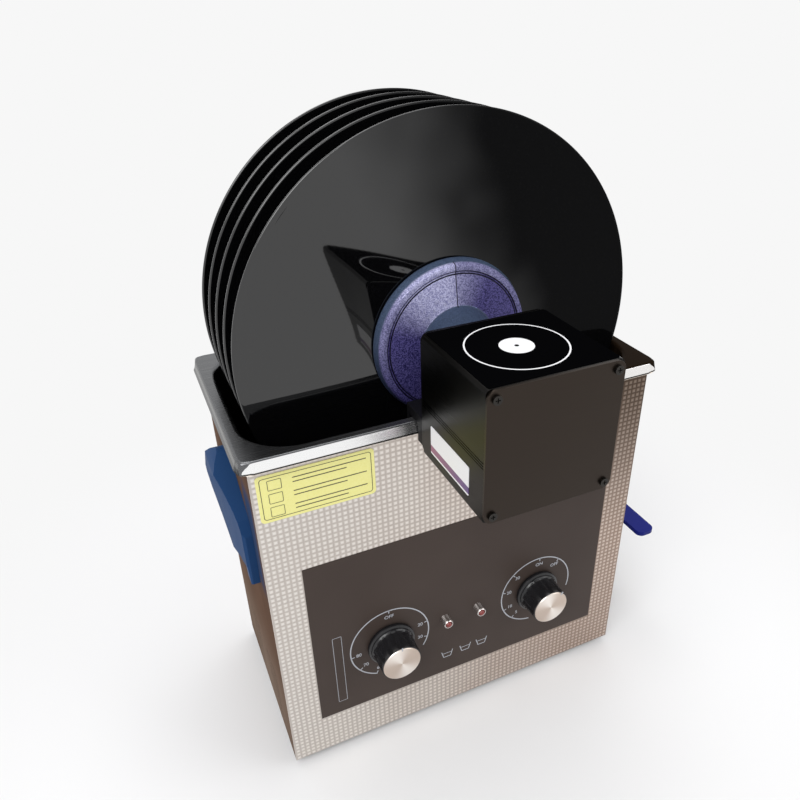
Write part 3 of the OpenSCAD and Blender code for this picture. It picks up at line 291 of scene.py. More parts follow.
# %% [markdown]
# ## Tools for shapes
# Every new piece is made as a bmesh in millimetres, by the same few acts as in
# a workshop: turn a profile, cut a card, round an edge, join. `add` scales it
# to metres, smooths its curves, gives it a material and lets it ride on the
# body of the CAD node whose surface it is.

# %% Shape helpers
BODY = {name: node["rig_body"] for name, node in nodes.items()}


def add(name, bm, coat, body, sharp=32):
    """Finish a bmesh as a piece of the object."""
    bmesh.ops.scale(bm, vec=(0.001, 0.001, 0.001), verts=bm.verts)
    bmesh.ops.recalc_face_normals(bm, faces=bm.faces)
    mesh = bpy.data.meshes.new(name)
    bm.to_mesh(mesh)
    bm.free()
    mesh.polygons.foreach_set("use_smooth", [True] * len(mesh.polygons))
    mesh.set_sharp_from_angle(angle=math.radians(sharp))
    mesh.materials.append(coat)
    piece = bpy.data.objects.new(name, mesh)
    bpy.context.scene.collection.objects.link(piece)
    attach(piece, body)
    return piece


def turned(profile, centre=(0, 0, 0), axis="Y", steps=96, angle=360, start=0):
    """Spin a profile of (radius, distance along the axis) about an axis."""
    bm = bmesh.new()
    spots = {"X": lambda r, d: (d, 0, r), "Y": lambda r, d: (0, d, r),
             "Z": lambda r, d: (r, 0, d)}[axis]
    way = {"X": (1, 0, 0), "Y": (0, 1, 0), "Z": (0, 0, 1)}[axis]
    verts = [bm.verts.new(spots(r, d)) for r, d in profile]
    edges = [bm.edges.new(pair) for pair in zip(verts, verts[1:])]
    bmesh.ops.rotate(bm, verts=verts, cent=(0, 0, 0),
                     matrix=Matrix.Rotation(math.radians(start), 3, way))
    bmesh.ops.spin(bm, geom=verts + edges, cent=(0, 0, 0), axis=way, steps=steps,
                   angle=math.radians(angle), use_merge=angle == 360)
    bmesh.ops.remove_doubles(bm, verts=bm.verts, dist=0.0005)
    bmesh.ops.translate(bm, verts=bm.verts, vec=centre)
    return bm


def card(width, height, thick, corner, segments=6):
    """A thin card with round corners, flat in X and Y, back on Z = 0."""
    bm = bmesh.new()
    bmesh.ops.create_grid(bm, x_segments=1, y_segments=1, size=0.5)
    bmesh.ops.scale(bm, vec=(width, height, 1), verts=bm.verts)
    if corner:
        bmesh.ops.bevel(bm, geom=bm.verts[:], offset=corner, affect="VERTICES",
                        segments=segments, profile=0.5, material=-1)
    top = bmesh.ops.extrude_face_region(bm, geom=bm.faces[:])["geom"]
    bmesh.ops.translate(bm, vec=(0, 0, thick),
                        verts=[v for v in top if isinstance(v, bmesh.types.BMVert)])
    return bm


def border(width, height, line, thick, corner):
    """A thin frame: the outer part of a card, its middle left open."""
    bm = card(width, height, thick, corner)
    flat = [f for f in bm.faces if abs(f.normal.z) > 0.9]
    bmesh.ops.inset_region(bm, faces=flat, thickness=line, use_even_offset=True)
    middle = [f for f in bm.faces if abs(f.normal.z) > 0.9 and len(f.verts) > 4]
    bmesh.ops.delete(bm, geom=middle, context="FACES")
    return bm


def moved(bm, matrix):
    bmesh.ops.transform(bm, matrix=matrix, verts=bm.verts)
    return bm


def joined(parts):
    """Several bmeshes as one."""
    whole = bmesh.new()
    for part in parts:
        mesh = bpy.data.meshes.new("part")
        part.to_mesh(mesh)
        part.free()
        whole.from_mesh(mesh)
        bpy.data.meshes.remove(mesh)
    return whole


def on_front(x, y, z):
    """Stands a flat card up at a place on the front, facing the viewer."""
    return Matrix.Translation((x, y, z)) @ Matrix.Rotation(math.radians(90), 4, "X")


def copied(name):
    """A CAD node's mesh in millimetres, its doubled corners merged."""
    bm = bmesh.new()
    bm.from_mesh(nodes[name].data)
    bmesh.ops.scale(bm, vec=(1000, 1000, 1000), verts=bm.verts)
    bmesh.ops.remove_doubles(bm, verts=bm.verts, dist=0.002)
    return bm


def softened(name, coat, width=0.0, segments=2, angle=28, sharp=50, reshape=None):
    """A copy of a CAD node with its corners rounded, which stands for it."""
    bm = copied(name)
    if reshape:
        reshape(bm)
    bmesh.ops.dissolve_limit(bm, angle_limit=math.radians(0.5), verts=bm.verts[:],
                             edges=bm.edges[:])
    if width:
        corners = [e for e in bm.edges if e.is_manifold
                   and e.calc_face_angle() > math.radians(angle)]
        bmesh.ops.bevel(bm, geom=corners, offset=width, affect="EDGES",
                        segments=segments, profile=0.5, clamp_overlap=True, material=-1)
    piece = add(name + "_finished", bm, coat, BODY[name], sharp=sharp)
    flat = piece.modifiers.new("flat faces", "WEIGHTED_NORMAL")
    flat.keep_sharp = True
    flat.weight = 100
    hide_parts(name)
    return piece


def box_mm(name):
    """The low and high corner of a CAD node in millimetres."""
    return [v * 1000 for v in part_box(name)]


def coat_node(name, coat):
    """Give a CAD node that keeps its shape a real material."""
    mesh = nodes[name].data
    mesh.materials.clear()
    mesh.materials.append(coat)


# %% [markdown]
# ## Families of finishes
# Brushed metal shows long thin scratches in one direction: noise that is
# stretched a hundredfold along the stroke. Moulded plastic has a fine even
# grain from the mould and gets shinier where it is touched.

# %% Brushed metal and moulded plastic
def two_tones(colour, contrast):
    """A darker and a lighter form of a colour, by a share of it."""
    return [[min(1, c * (1 + side * contrast)) for c in colour[:3]] + [1.0] for side in (-1, 1)]


def brushed(name, colour, stretch, rough=0.3, spread=0.18, contrast=0.16):
    start, made = material(name)
    lines = noise(place(start, stretch), 1.0, 4.0, 0.6)
    cloud = noise(place(start), 0.018, 2.0)
    tone = (lines - 0.5) * contrast * 2 + (cloud - 0.5) * contrast
    dress(start, Base_Color=mix((tone + 0.5).ramp(0.0, 1.0), *two_tones(colour, contrast)),
          Roughness=(lines - 0.5) * spread + (cloud - 0.5) * 0.1 + rough,
          Metallic=1.0, Normal=bump(lines, 0.5, 0.004))
    return made


def moulded(name, colour, rough=0.45, grain=1.6, relief=0.02, contrast=0.12, shine=0.5):
    start, made = material(name)
    point = place(start)
    fine = noise(point, grain, 3.0)
    cloud = noise(point, 0.03, 2.0)
    dress(start, Base_Color=mix(fine * 0.4 + cloud * 0.6, *two_tones(colour, contrast)),
          Roughness=(fine - 0.5) * 0.16 + (cloud - 0.5) * 0.14 + rough,
          Normal=bump(fine, 0.6, relief), Specular_IOR_Level=shine)
    return made


def printed(name, dark, light, rough, spread=0.0):
    """Screen-printed ink: flat, with a fine unevenness of its tone."""
    start, made = material(name)
    fine = noise(place(start), 2.0, 3.0)
    dress(start, Base_Color=mix(fine, dark, light), Roughness=(fine - 0.5) * spread + rough)
    return made


LONG_X, LONG_Y, LONG_Z = (0.012, 2.4, 2.4), (2.4, 0.012, 2.4), (2.4, 2.4, 0.012)
bright_steel = brushed("turned_steel", ink(205, 204, 202), (0.6, 0.6, 0.6), 0.22)
black_plastic = moulded("black_plastic", ink(20, 20, 22), 0.38)
print("families ready")

# %% [markdown]
# ## The bath
# The tub and its rim are one pressed sheet of satin stainless steel. Inside, the
# steel only mirrors the records above it and the dark corners of the bath, so it
# goes dark below the rim: a painted shade in its colour, which is also rougher
# lower down. The press
# folds the rim round a tighter corner and to a shorter lip than the solid has.
# So each corner of the copy is drawn outward, by how far round the corner a
# point lies, and the lip's lower points are lifted.

# %% Tank
start, tub_steel = material("bath_steel")
lines = noise(place(start, LONG_X), 1.0, 4.0, 0.6)
x, y, z = place(start).xyz()
# A broad noise that wobbles the edges of the painted shade below the rim and of the rim's painted
# tones.
film = noise(place(start), 0.05, 3.0)
# Painted shade: below the rim the steel's colour goes dark, for the shade inside the bath.
depth = (z + film * 16).ramp(262, 312)
along = (x + film * 60).ramp(-110, 150)
LIP_FRONT, LIP_LEFT, LIP_LOW = -85.2, -162.2, 302.4
# Painted light on the rim's top: the deck's grey darkens to the right into a painted brown shade
# and reflection of the ground, and the front lip is a near-white painted highlight.
deck = mix(along, ink(98, 99, 101), ink(30, 22, 15))
lip = mix(along, ink(252, 252, 252), ink(238, 236, 234))
# Painted shade: thin dark lines along the lip's two bends; below the lower bend the lip is
# painted beige.
crease_shade = (z < 303.6) * (z > 302.7) + (z < 311.0) * (z > 310.3)
lip = mix(z < 302.7, lip, ink(196, 186, 176))
lip = mix(crease_shade, lip, ink(58, 56, 54))
# The rim's left side is painted in bands: a grey painted highlight between dark bands of painted
# shade.
side = mix(z < 305.8, ink(104, 104, 103), ink(40, 40, 40))
side = mix(z > 308.4, side, ink(34, 34, 34))
shine = mix(y < LIP_FRONT, deck, lip)
shine = mix(x < LIP_LEFT, shine, side)
# Lighter brushed streaks, stronger towards the left: the steel's grain, lifted by painted light
# from that side.
shine = mix(((lines - 0.5) * 0.3 + 0.03) * (1 - along), shine, ink(226, 226, 226))
# The deck is made less metallic where it is painted dark to the right, so that its painted shade
# stays dark.
dress(start, Base_Color=mix(depth, ink(26, 26, 28), shine),
      Metallic=1 - along * (y > LIP_FRONT) * 0.9,
      Roughness=(lines - 0.5) * 0.18 + 0.26 + (1 - depth) * 0.12,
      Normal=bump(lines, 0.5, 0.004), Specular_IOR_Level=0.0)


def tighter(bm):
    """Draws the rim's corners out from a 9 mm radius to 4.5 mm and trims its lip."""
    wide, tight, lip_depth = 9.0, 4.5, 2.5
    low, high = box_mm("tank")
    middle, half = (low + high) / 2, (high - low) / 2
    for v in bm.verts:
        side = v.co - middle
        dx, dy = abs(side.x) - half.x + wide, abs(side.y) - half.y + wide
        in_corner = min(dx, dy) > 0
        inward = wide - (math.hypot(dx, dy) if in_corner else max(dx, dy))
        if v.co.z < LIP_LOW and inward < lip_depth:
            v.co.z = LIP_LOW
        if v.co.z < LIP_LOW or not in_corner:
            continue
        ux, uy = dx / math.hypot(dx, dy), dy / math.hypot(dx, dy)
        along = (wide - tight) * (ux + uy)
        out = along + math.sqrt(max(0.0, along ** 2 - 2 * (wide - tight) ** 2 + tight ** 2))
        if min(ux, uy) / max(ux, uy) < (wide - tight) / wide:
            out = wide / max(ux, uy)
        v.co.x = middle.x + math.copysign(half.x - wide + dx * out / wide, side.x)
        v.co.y = middle.y + math.copysign(half.y - wide + dy * out / wide, side.y)


softened("tank", tub_steel, reshape=tighter)

# %% [markdown]
# The front sheet is rolled with a square pattern of small pillows, 4.18 mm
# apart, that hides finger marks. Each square of a grid is inset twice and
# raised, which makes a soft pillow with five flat facets and few faces. Where
# the overlay and the sticker lie, the sheet is left flat.

# %% Front sheet with its pillows
PITCH = 4.18
EDGE, UNDER_RIM = 0.6, 11.5
front_low, front_high = box_mm("front_panel")
flat_zones = [box_mm(n) for n in ("control_panel", "notice_label")]
columns = int((front_high.x - front_low.x - 2 * EDGE) / PITCH)
rows = int((front_high.z - UNDER_RIM - front_low.z - 2 * EDGE) / PITCH)
sheet_middle = front_low.z + EDGE + rows * PITCH / 2
bm = bmesh.new()
bmesh.ops.create_grid(bm, x_segments=columns, y_segments=rows, size=0.5)
bmesh.ops.scale(bm, vec=(columns * PITCH, rows * PITCH, 1), verts=bm.verts)
covered = []
for face in bm.faces:
    spot = face.calc_center_median() + Vector((0, sheet_middle, 0))
    for low, high in flat_zones:
        if low.x + 2 < spot.x < high.x - 2 and low.z + 2 < spot.y < high.z - 2:
            covered.append(face)
bmesh.ops.delete(bm, geom=list(set(covered)), context="FACES")
pillows = bm.faces[:]
for inset, lift in ((0.4, 0.0), (0.5, 0.2), (0.45, 0.1)):
    bmesh.ops.inset_individual(bm, faces=pillows, thickness=inset, depth=lift)
moved(bm, on_front(0, front_low.y - 0.02, sheet_middle))
start, dimple_steel = material("pillowed_steel")
lines = noise(place(start, (0.5, 0.5, 0.5)), 1.0, 4.0)
x, y, z = place(start).xyz()
cloud = noise(place(start), 0.012, 2.0)
# Painted light falloff: the sheet is lighter at the left and darker and browner towards the
# right, with a cloudy edge.
painted_light_falloff = (x / 320 + 0.5 + (cloud - 0.5) * 0.5).ramp(0.0, 1.1)
away = [(((v - edge) / PITCH).math("FRACT") - 0.5).math("ABSOLUTE")
        for v, edge in ((x, -columns * PITCH / 2), (z, front_low.z + EDGE))]
# Painted shade: the channels between the pillows are darker than the pillows' tops.
channel_shade = away[0].math("MAXIMUM", away[1]).ramp(0.12, 0.46)
# Painted shade and painted reflection of the dark motor box, at the top right under the rim.
shade = z.ramp(130, 310) * x.ramp(70, 130)
blob = mix(shade, mix(painted_light_falloff, ink(235, 230, 224), ink(208, 190, 178)), ink(128, 112, 100))
groove = mix(shade, mix(painted_light_falloff, ink(197, 189, 182), ink(152, 132, 119)), ink(78, 64, 54))
dress(start, Base_Color=mix(channel_shade, blob, groove), Metallic=1.0,
      Roughness=(lines - 0.5) * 0.15 + 0.34, Normal=bump(lines, 0.4, 0.01))
skin = add("front_pillows", bm, dimple_steel, "tank_unit", sharp=60)
coat_node("front_panel", dimple_steel)
print("pillows:", columns, "x", rows, "grid,", len(skin.data.polygons), "faces")

# %% [markdown]
# Sides and back are plain satin sheet with hand marks, so the tone wanders over
# a hand's breadth. The left side stands in the shade. It takes the brown of the
# ground around the bath, and the blue of the handle in front of it, and both are
# soft and dull, so they are painted as plain colour and not as a mirror.

# %% Wrap, base, feet and screws
LEFT_WALL = -156.6
start, side_steel = material("side_steel")
x, y, z = place(start).xyz()
lines = noise(place(start, LONG_Y), 1.0, 4.0, 0.6)
smudge = noise(place(start), 0.016, 4.0, 0.5)
rise = (z + (smudge - 0.5) * 60).ramp(30, 150)
shaded = x < LEFT_WALL
brown = mix(smudge.ramp(0.3, 0.7), mix(rise, ink(114, 97, 85), ink(96, 75, 63)),
            mix(rise, ink(126, 110, 98), ink(108, 86, 73)))
beside = z.ramp(180, 204) * (1 - z.ramp(262, 284)) * y.ramp(-82, -66)
brown = mix(beside * (1 - y.ramp(-54, -38)), brown, ink(52, 68, 98))
satin = mix(smudge.ramp(0.3, 0.7), ink(166, 159, 154), ink(180, 174, 169))
dress(start, Base_Color=mix(shaded, satin, brown), Metallic=1 - shaded,
      Roughness=(lines - 0.5) * 0.16 + (smudge - 0.5) * 0.16 + 0.36,
      Normal=bump(lines, 0.5, 0.004), Specular_IOR_Level=0.0)
coat_node("case_wrap", side_steel)
coat_node("base_plate", side_steel)
rubber = moulded("rubber", ink(26, 26, 27), 0.7, 1.2, 0.03)
softened("rubber_feet", rubber, 0.7)
zinc = brushed("zinc_screw", ink(190, 190, 186), (0.5, 0.5, 0.5), 0.3)
softened("case_screws", zinc, 0.25)
print("housing dressed")

# %% [markdown]
# ## The handles
# Blue moulded hoods. A mould leaves every outer edge round, so the copy of the
# solid is bevelled, and a fine spark-eroded grain covers the plastic.

# %% Handles
blue = moulded("handle_plastic", ink(30, 62, 104), 0.5, 1.1, 0.05, 0.1, shine=0.08)
for name in ("handle_left", "handle_right"):
    softened(name, blue, 0.9, 3, 24, 60)
print("handles rounded")

# %% [markdown]
# ## The control panel
# A dark overlay film glued on the sheet, with two dials, printed numbers and
# small pictograms. The print is raised a few hundredths of a millimetre, as
# screen-printed ink is, and it is cut from rings, cards and letters turned to
# mesh.

# %% Overlay film
start, film_coat = material("overlay_film")
point = place(start)
fine = noise(point, 1.3, 3.0)
cloud = noise(point, 0.012, 2.0)
dress(start, Base_Color=mix(cloud * 0.7 + fine * 0.3, ink(58, 49, 45), ink(74, 64, 59)),
      Roughness=(fine - 0.5) * 0.1 + 0.4, Specular_IOR_Level=0.12,
      Normal=bump(fine, 0.35, 0.012))
softened("control_panel", film_coat, 0.12, 2)

print_ink = printed("pale_ink", ink(160, 163, 170), ink(188, 191, 197), 0.5, 0.1)
print("film and ink ready")

# %% Printed dials
FACE = box_mm("control_panel")[0].y
DIAL_X, DIAL_Z = 68.5, 108.4
INK = 0.06


def lettering(text, size, x, z, turn=0):
    """Plain characters from the built-in font, as thin raised print."""
    curve = bpy.data.curves.new("text", "FONT")
    curve.body = text
    curve.size = size
    curve.align_x = "CENTER"
    curve.align_y = "CENTER"
    curve.extrude = INK / 2
    curve.offset = 0.012 * size
    held = bpy.data.objects.new("text", curve)
    bpy.context.scene.collection.objects.link(held)
    bpy.context.view_layer.update()
    shape = bpy.data.meshes.new_from_object(
        held.evaluated_get(bpy.context.evaluated_depsgraph_get()))
    bpy.data.objects.remove(held)
    bpy.data.curves.remove(curve)
    bm = bmesh.new()
    bm.from_mesh(shape)
    bpy.data.meshes.remove(shape)
    return moved(bm, on_front(x, FACE - INK / 2, z) @ Matrix.Rotation(math.radians(turn), 4, "Z"))


def dial(x, marks, first, last):
    """An open ring with ticks and numbers; angles run clockwise from the top."""
    outer_r, inner_r, tick_r, text_r = 34.5, 33.5, 32.6, 27.4
    out = [(outer_r, 0), (outer_r, -INK), (inner_r, -INK), (inner_r, 0), (outer_r, 0)]
    parts = [turned(out, (x, FACE, DIAL_Z), "Y", 96, last - first, first)]
    for text, angle in marks:
        a = math.radians(angle)
        across, high = math.sin(a), math.cos(a)
        parts.append(moved(card(0.8, 3.0, INK, 0),
                           on_front(x + tick_r * across, FACE, DIAL_Z + tick_r * high)
                           @ Matrix.Rotation(-a, 4, "Z")))
        parts.append(lettering(text, 4.6, x + text_r * across, DIAL_Z + text_r * high))
    return parts


heat_marks = [("OFF", 0), ("20", 76), ("30", 106), ("40", 138), ("50", 171), ("60", 203),
              ("70", 233), ("80", 263)]
time_marks = [("OFF", 40), ("ON", 4), ("30", 316), ("20", 283), ("10", 247), ("5", 222)]
marks = dial(-DIAL_X, heat_marks, -158, 122) + dial(DIAL_X, time_marks, -172, 106)
print("dial marks:", len(marks))

# %% [markdown]
# Three small basins show that the bath is filled before use. Each is three
# strokes: a bottom and two sides that lean outward. A narrow upright frame at
# the left is left empty.

# %% Pictograms and frame
def stroke(x0, z0, x1, z1, width, face=FACE):
    """A printed line from one point to another on the front."""
    run = math.hypot(x1 - x0, z1 - z0)
    bar = card(run, width, INK, 0)
    lean = Matrix.Rotation(math.atan2(z1 - z0, x1 - x0), 4, "Z")
    return moved(bar, on_front((x0 + x1) / 2, face, (z0 + z1) / 2) @ lean)


BASIN_LOW, BASIN_HIGH, WATER = 65.2, 72.0, 69.6
for x in (-17.4, 0.0, 15.9):
    marks.append(stroke(x - 3.3, BASIN_LOW, x + 3.3, BASIN_LOW, 0.7))
    marks.append(stroke(x - 3.3, BASIN_LOW, x - 5.2, BASIN_HIGH, 0.7))
    marks.append(stroke(x + 3.3, BASIN_LOW, x + 5.2, BASIN_HIGH, 0.7))
    marks.append(stroke(x - 4.2, WATER, x + 4.2, WATER, 0.5))
frame_print = border(7.5, 73, 0.35, INK, 0.5)
marks.append(moved(frame_print, on_front(-112.2, FACE, 96.5)))
add("panel_print", joined(marks), print_ink, "tank_unit", sharp=40)

# %% [markdown]
# The yellow sticker is glossy vinyl. Its wording is left off: a thin border and
# ruled lines keep the look of a filled label.

# %% Sticker
start, yellow = material("yellow_vinyl")
fine = noise(place(start), 0.8, 3.0)
dress(start, Base_Color=mix(fine, ink(236, 230, 138), ink(246, 242, 164)),
      Roughness=(fine - 0.5) * 0.1 + 0.34, Normal=bump(fine, 0.3, 0.01))
softened("notice_label", yellow, 0.12, 2)
black_ink = printed("black_ink", ink(38, 36, 30), ink(62, 60, 50), 0.5)
low, high = box_mm("notice_label")
middle = (low + high) / 2
ruled = [moved(border(76.5, 33, 0.45, INK, 2.2), on_front(middle.x, low.y, middle.z))]
for i in range(3):
    top = high.z - 6.6 - i * 10.6
    ruled.append(stroke(low.x + 24, top, high.x - 6, top, 0.7, low.y))
    ruled.append(stroke(low.x + 24, top - 3.4, high.x - 20, top - 3.4, 0.7, low.y))
    ruled.append(moved(border(9.5, 8, 0.4, INK, 0.8), on_front(low.x + 12, low.y, top - 2)))
add("sticker_print", joined(ruled), black_ink, "tank_unit", sharp=40)
print("sticker lines:", len(ruled))

# %% [markdown]
# ## Knobs and lamps
# A knob is a turned profile whose grip is then fluted: each point moves inward
# by a wave that goes twelve times round. The metal cap is spun aluminium, and
# its turning lines throw a bow-tie of light, which is painted into its colour
# as a painted highlight.

# %% Knobs
start, knob_coat = material("knob_plastic")
fine = noise(place(start), 1.4, 3.0)
dress(start, Base_Color=mix(fine, ink(14, 14, 16), ink(28, 28, 31)),
      Roughness=(fine - 0.5) * 0.1 + 0.24, Normal=bump(fine, 0.3, 0.008))


def spun_metal(name, x, z, turn):
    """Turned aluminium about a point, with a bow-tie of light painted into its colour as a
    highlight.
    """
    start, made = material(name)
    px, py, pz = place(start).xyz()
    dx, dz = px - x, pz - z
    radius = (dx * dx + dz * dz) ** 0.5
    angle = dx.math("ARCTAN2", dz) + math.radians(turn)
    # Painted highlight: the bow-tie of light lightens the colour at fixed angles round the cap.
    painted_sheen = (angle * 2).math("COSINE") * 0.5 + 0.5
    rings = noise(start.node("ShaderNodeCombineXYZ", {0: radius * 9.0}), 1.0, 3.0)
    tone = mix(painted_sheen ** 2.0 * 0.8 + rings * 0.2, ink(196, 178, 164), ink(250, 243, 236))
    dress(start, Base_Color=tone, Metallic=1.0, Roughness=(rings - 0.5) * 0.14 + 0.3,
          Normal=bump(rings, 0.4, 0.006))
    return made


def fluted_knob(x):
    bm = turned([(0, -106), (15.9, -106), (16.3, -105.85), (16.5, -105.4), (16.7, -100),
                 (17.0, -92), (17.2, -89.4), (17.6, -88.6), (18.0, -88.1), (18.2, -87.4),
                 (18.3, -86.7), (18.7, -86.4), (19.4, -86.2), (19.8, -85.9), (20.0, -85.3),
                 (20.0, -83.5), (19.8, -83.1), (19.4, -83), (0, -83)], steps=192)
    for v in bm.verts:
        if -105.6 < v.co.y < -88.9:
            a = math.atan2(v.co.x, v.co.z)
            pull = 1 - 0.05 * max(0.0, math.cos(12 * a)) ** 2
            v.co.x *= pull
            v.co.z *= pull
    return moved(bm, Matrix.Translation((x, 0, DIAL_Z)))


for body, x, turn in (("thermostat", -DIAL_X, 2), ("timer", DIAL_X, 38)):
    ride = body + "_control"
    knob = add(body + "_knob_fluted", fluted_knob(x), knob_coat, ride)
    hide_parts(body + "_knob")
    disc = turned([(0, -107), (14.9, -107), (15.35, -106.85), (15.6, -106.5), (15.6, -106),
                   (0, -106)], (x, 0, DIAL_Z), steps=128)
    metal = spun_metal(body + "_spun", x, DIAL_Z, 25)
    cap = add(body + "_cap_spun", disc, metal, ride)
    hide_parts(body + "_cap")
    mark = card(1.1, 3.2, 0.4, 0.2)
    a = math.radians(turn)
    moved(mark, on_front(x + 15.6 * math.sin(a), -106.8, DIAL_Z + 15.6 * math.cos(a))
          @ Matrix.Rotation(-a, 4, "Z"))
    add(body + "_pointer", mark, print_ink, ride)
coat_node("thermostat_shaft", bright_steel)
coat_node("timer_shaft", bright_steel)
print("knobs fluted")

# %% Pilot lamps
chrome = brushed("chrome", ink(206, 200, 197), (0.6, 0.6, 0.6), 0.26, 0.05, 0.05)
start, red_glass = material("red_lens")
fine = noise(place(start), 1.2, 2.0)
dress(start, Base_Color=mix(fine, ink(104, 30, 28), ink(138, 52, 46)),
      Roughness=(fine - 0.5) * 0.08 + 0.2, Coat_Weight=0.2)
LAMP_Z = 112
tubes, tips = [], []
for x in (-19.5, 11.1):
    tubes.append(turned([(3.0, -75), (3.0, -82), (4.3, -82), (4.3, -82.2), (4.2, -82.4),
                         (4.2, -88.9), (4.0, -89.6), (3.6, -90), (3.1, -89.9), (2.9, -89.4),
                         (2.9, -88.4), (2.4, -88.2), (2.2, -80)], (x, 0, LAMP_Z), steps=48))
    tips.append(turned([(0, -91.6), (0.9, -91.45), (1.7, -91.0), (2.3, -90.3), (2.75, -89.4),
                        (2.8, -88.6), (2.1, -88.3), (2.0, -76), (0, -76)], (x, 0, LAMP_Z),
                       steps=48))
bezel = add("lamp_bezels", joined(tubes), chrome, "tank_unit")
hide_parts("pilot_bezels")
lens = add("lamp_lenses", joined(tips), red_glass, "tank_unit")
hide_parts("pilot_lenses")
print("lamps turned")

# %% [markdown]
# ## The motor box
# Two black anodised half shells meet at a line along the sides, between flat end
# plates. Anodising keeps the brushed aluminium's lines under a hard dark skin,
# so the metal is dark, satin and slightly brown.

# %% Box shells, plates and saddle
anodised = brushed("anodised_shell", ink(34, 33, 32), LONG_Y, 0.3, 0.14, 0.22)
plate_metal = brushed("anodised_plate", ink(58, 51, 46), LONG_X, 0.34, 0.14, 0.14)
softened("drive_case_top", anodised, 0.5, 2)
softened("drive_case_bottom", anodised, 0.25, 2)
softened("front_plate", plate_metal, 0.4, 2)
softened("back_plate", anodised, 0.4, 2)
saddle_coat = moulded("saddle_plastic", ink(13, 13, 15), 0.5, 1.0, 0.03, shine=0.2)
softened("rim_saddle", saddle_coat, 0.6, 2)
screw_steel = brushed("dark_screw", ink(58, 56, 54), (0.5, 0.5, 0.5), 0.3)
softened("drive_screws", screw_steel, 0.3, 2)
print("motor box dressed")

# %% [markdown]
# The top wears a glossy black label with a white ring and disc, a little
# picture of a record. A white plate with a printed band is on the left side.
# Their wording is left off.

# %% Labels of the box
gloss = moulded("gloss_label", ink(5, 5, 6), 0.3, 0.3, 0.006, 0.1, shine=0.0)
white_ink = printed("white_ink", ink(226, 226, 228), ink(244, 244, 245), 0.4)
TOP = 383.9
LABEL_T = 0.3
top_label = moved(card(83.5, 77, LABEL_T, 2.0), Matrix.Translation((-2.4, -145, TOP)))
top_piece = add("top_label", top_label, gloss, "drive_unit")
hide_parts("drive_labels")
rings = [turned([(r0, 0), (r0, INK), (r1, INK), (r1, 0), (r0, 0)],
                (-4.4, -145.4, TOP + LABEL_T), "Z", steps)
         for r0, r1, steps in ((30.8, 29.8, 128), (1.4, 10.4, 96))]
add("top_print", joined(rings), white_ink, "drive_unit")

start, plate_print = material("side_plate_print")
x, y, z = place(start).xyz()
grain = noise(place(start), 1.5, 2.0)
band = (z < 312.4) * (z > 307.6)
lilac = mix((y + 168) / 50, ink(88, 66, 120), ink(150, 96, 120))
paper = mix(grain, ink(226, 226, 228), ink(240, 240, 242))
dress(start, Base_Color=mix(band, paper, lilac), Roughness=0.32)
side_label = moved(card(51, 20, LABEL_T, 1.0),
                   Matrix.Translation((-46.15, -143, 316.3))
                   @ Matrix.Rotation(math.radians(-90), 4, "Z")
                   @ Matrix.Rotation(math.radians(90), 4, "X"))
add("side_label", side_label, plate_print, "drive_unit")
print("labels done")

# %% [markdown]
# ## Clamps and records
# The clamps are 3-D printed in a violet glitter filament: fine layers and a
# sparkle in the plastic. The strokes of each layer lie one way, so the face is
# lighter in one sector than in the next: a painted sheen in its colour, with
# painted light towards the top left and painted shade towards the right. The
# disc's edge and the hub face the sky and look blue-grey: a painted reflection.

# %% Printed plastic
AXIS = 350
HUB_R = 27


def about_axis(start):
    """The point as seen from the spindle: across, along, up, and out from it."""
    x, y, z = place(start).xyz()
    up = z - AXIS
    return x, y, up, (x * x + up * up) ** 0.5


start, violet = material("violet_print")
x, y, up, radius = about_axis(start)
sparkle = start.node("ShaderNodeTexVoronoi", {"Vector": place(start), "Scale": 1.7},
                     out="Color")
spark = start.node("ShaderNodeSeparateColor", {0: sparkle}, out=0)
fine = noise(place(start), 2.2, 3.0)
# Painted light: lighter towards the top and the left, darker towards the bottom right.
painted_top_light = ((up - x * 0.25) / 100).ramp(-0.3, 0.5)
# Painted sheen: one sector of the face, up and a little to the left, is lighter, and the right
# half is painted darker.
sector = (x.math("ARCTAN2", up) + 0.36).math("ABSOLUTE")
painted_sheen = (1 - sector.ramp(0.1, 1.0)) * (1 - (x > 0) * 0.3)
painted_sheen = painted_sheen.math("MAXIMUM", (radius > 50.9) * painted_top_light * 0.4)
glint = spark.ramp(0.2, 0.8) * 0.8 + fine * 0.2
face = mix(glint, mix(painted_sheen, ink(12, 8, 56), ink(120, 120, 162)),
           mix(painted_sheen, ink(86, 80, 138), ink(198, 198, 230)))
# Painted shade: dark rings in the face's two grooves.
groove_ring_shade = (radius > 48.4) * (radius < 49.3) + (radius > 50.1) * (radius < 50.9)
face = mix(groove_ring_shade, face, ink(16, 14, 34))
rimmed = radius.ramp(55.4, 56.2)
hubbed = 1 - radius.ramp(27.4, 28.4)
seam = (x.math("ABSOLUTE") < 0.35) * (up > HUB_R)
# Painted reflection of the sky: the disc's edge and the hub are blue-grey, lighter towards the
# top.
painted_sky_reflection = mix(fine * 0.5 + spark * 0.5, mix(painted_top_light, ink(14, 18, 34), ink(30, 42, 62)),
           mix(painted_top_light, ink(36, 42, 66), ink(78, 94, 120)))
tone = mix(rimmed, mix(hubbed, face, painted_sky_reflection), painted_sky_reflection)
tone = mix(seam * (y < -55), tone, ink(20, 18, 34))
layers = (y * 26).math("SINE") * 0.5 + 0.5
dress(start, Base_Color=tone, Metallic=spark.ramp(0.82, 0.9) * 0.6, Specular_IOR_Level=0.2,
      Roughness=0.5 - spark.ramp(0.8, 0.9) * 0.22,
      Normal=bump(layers * 0.3 + fine * 0.7, 0.5, 0.06))
print("violet print ready")

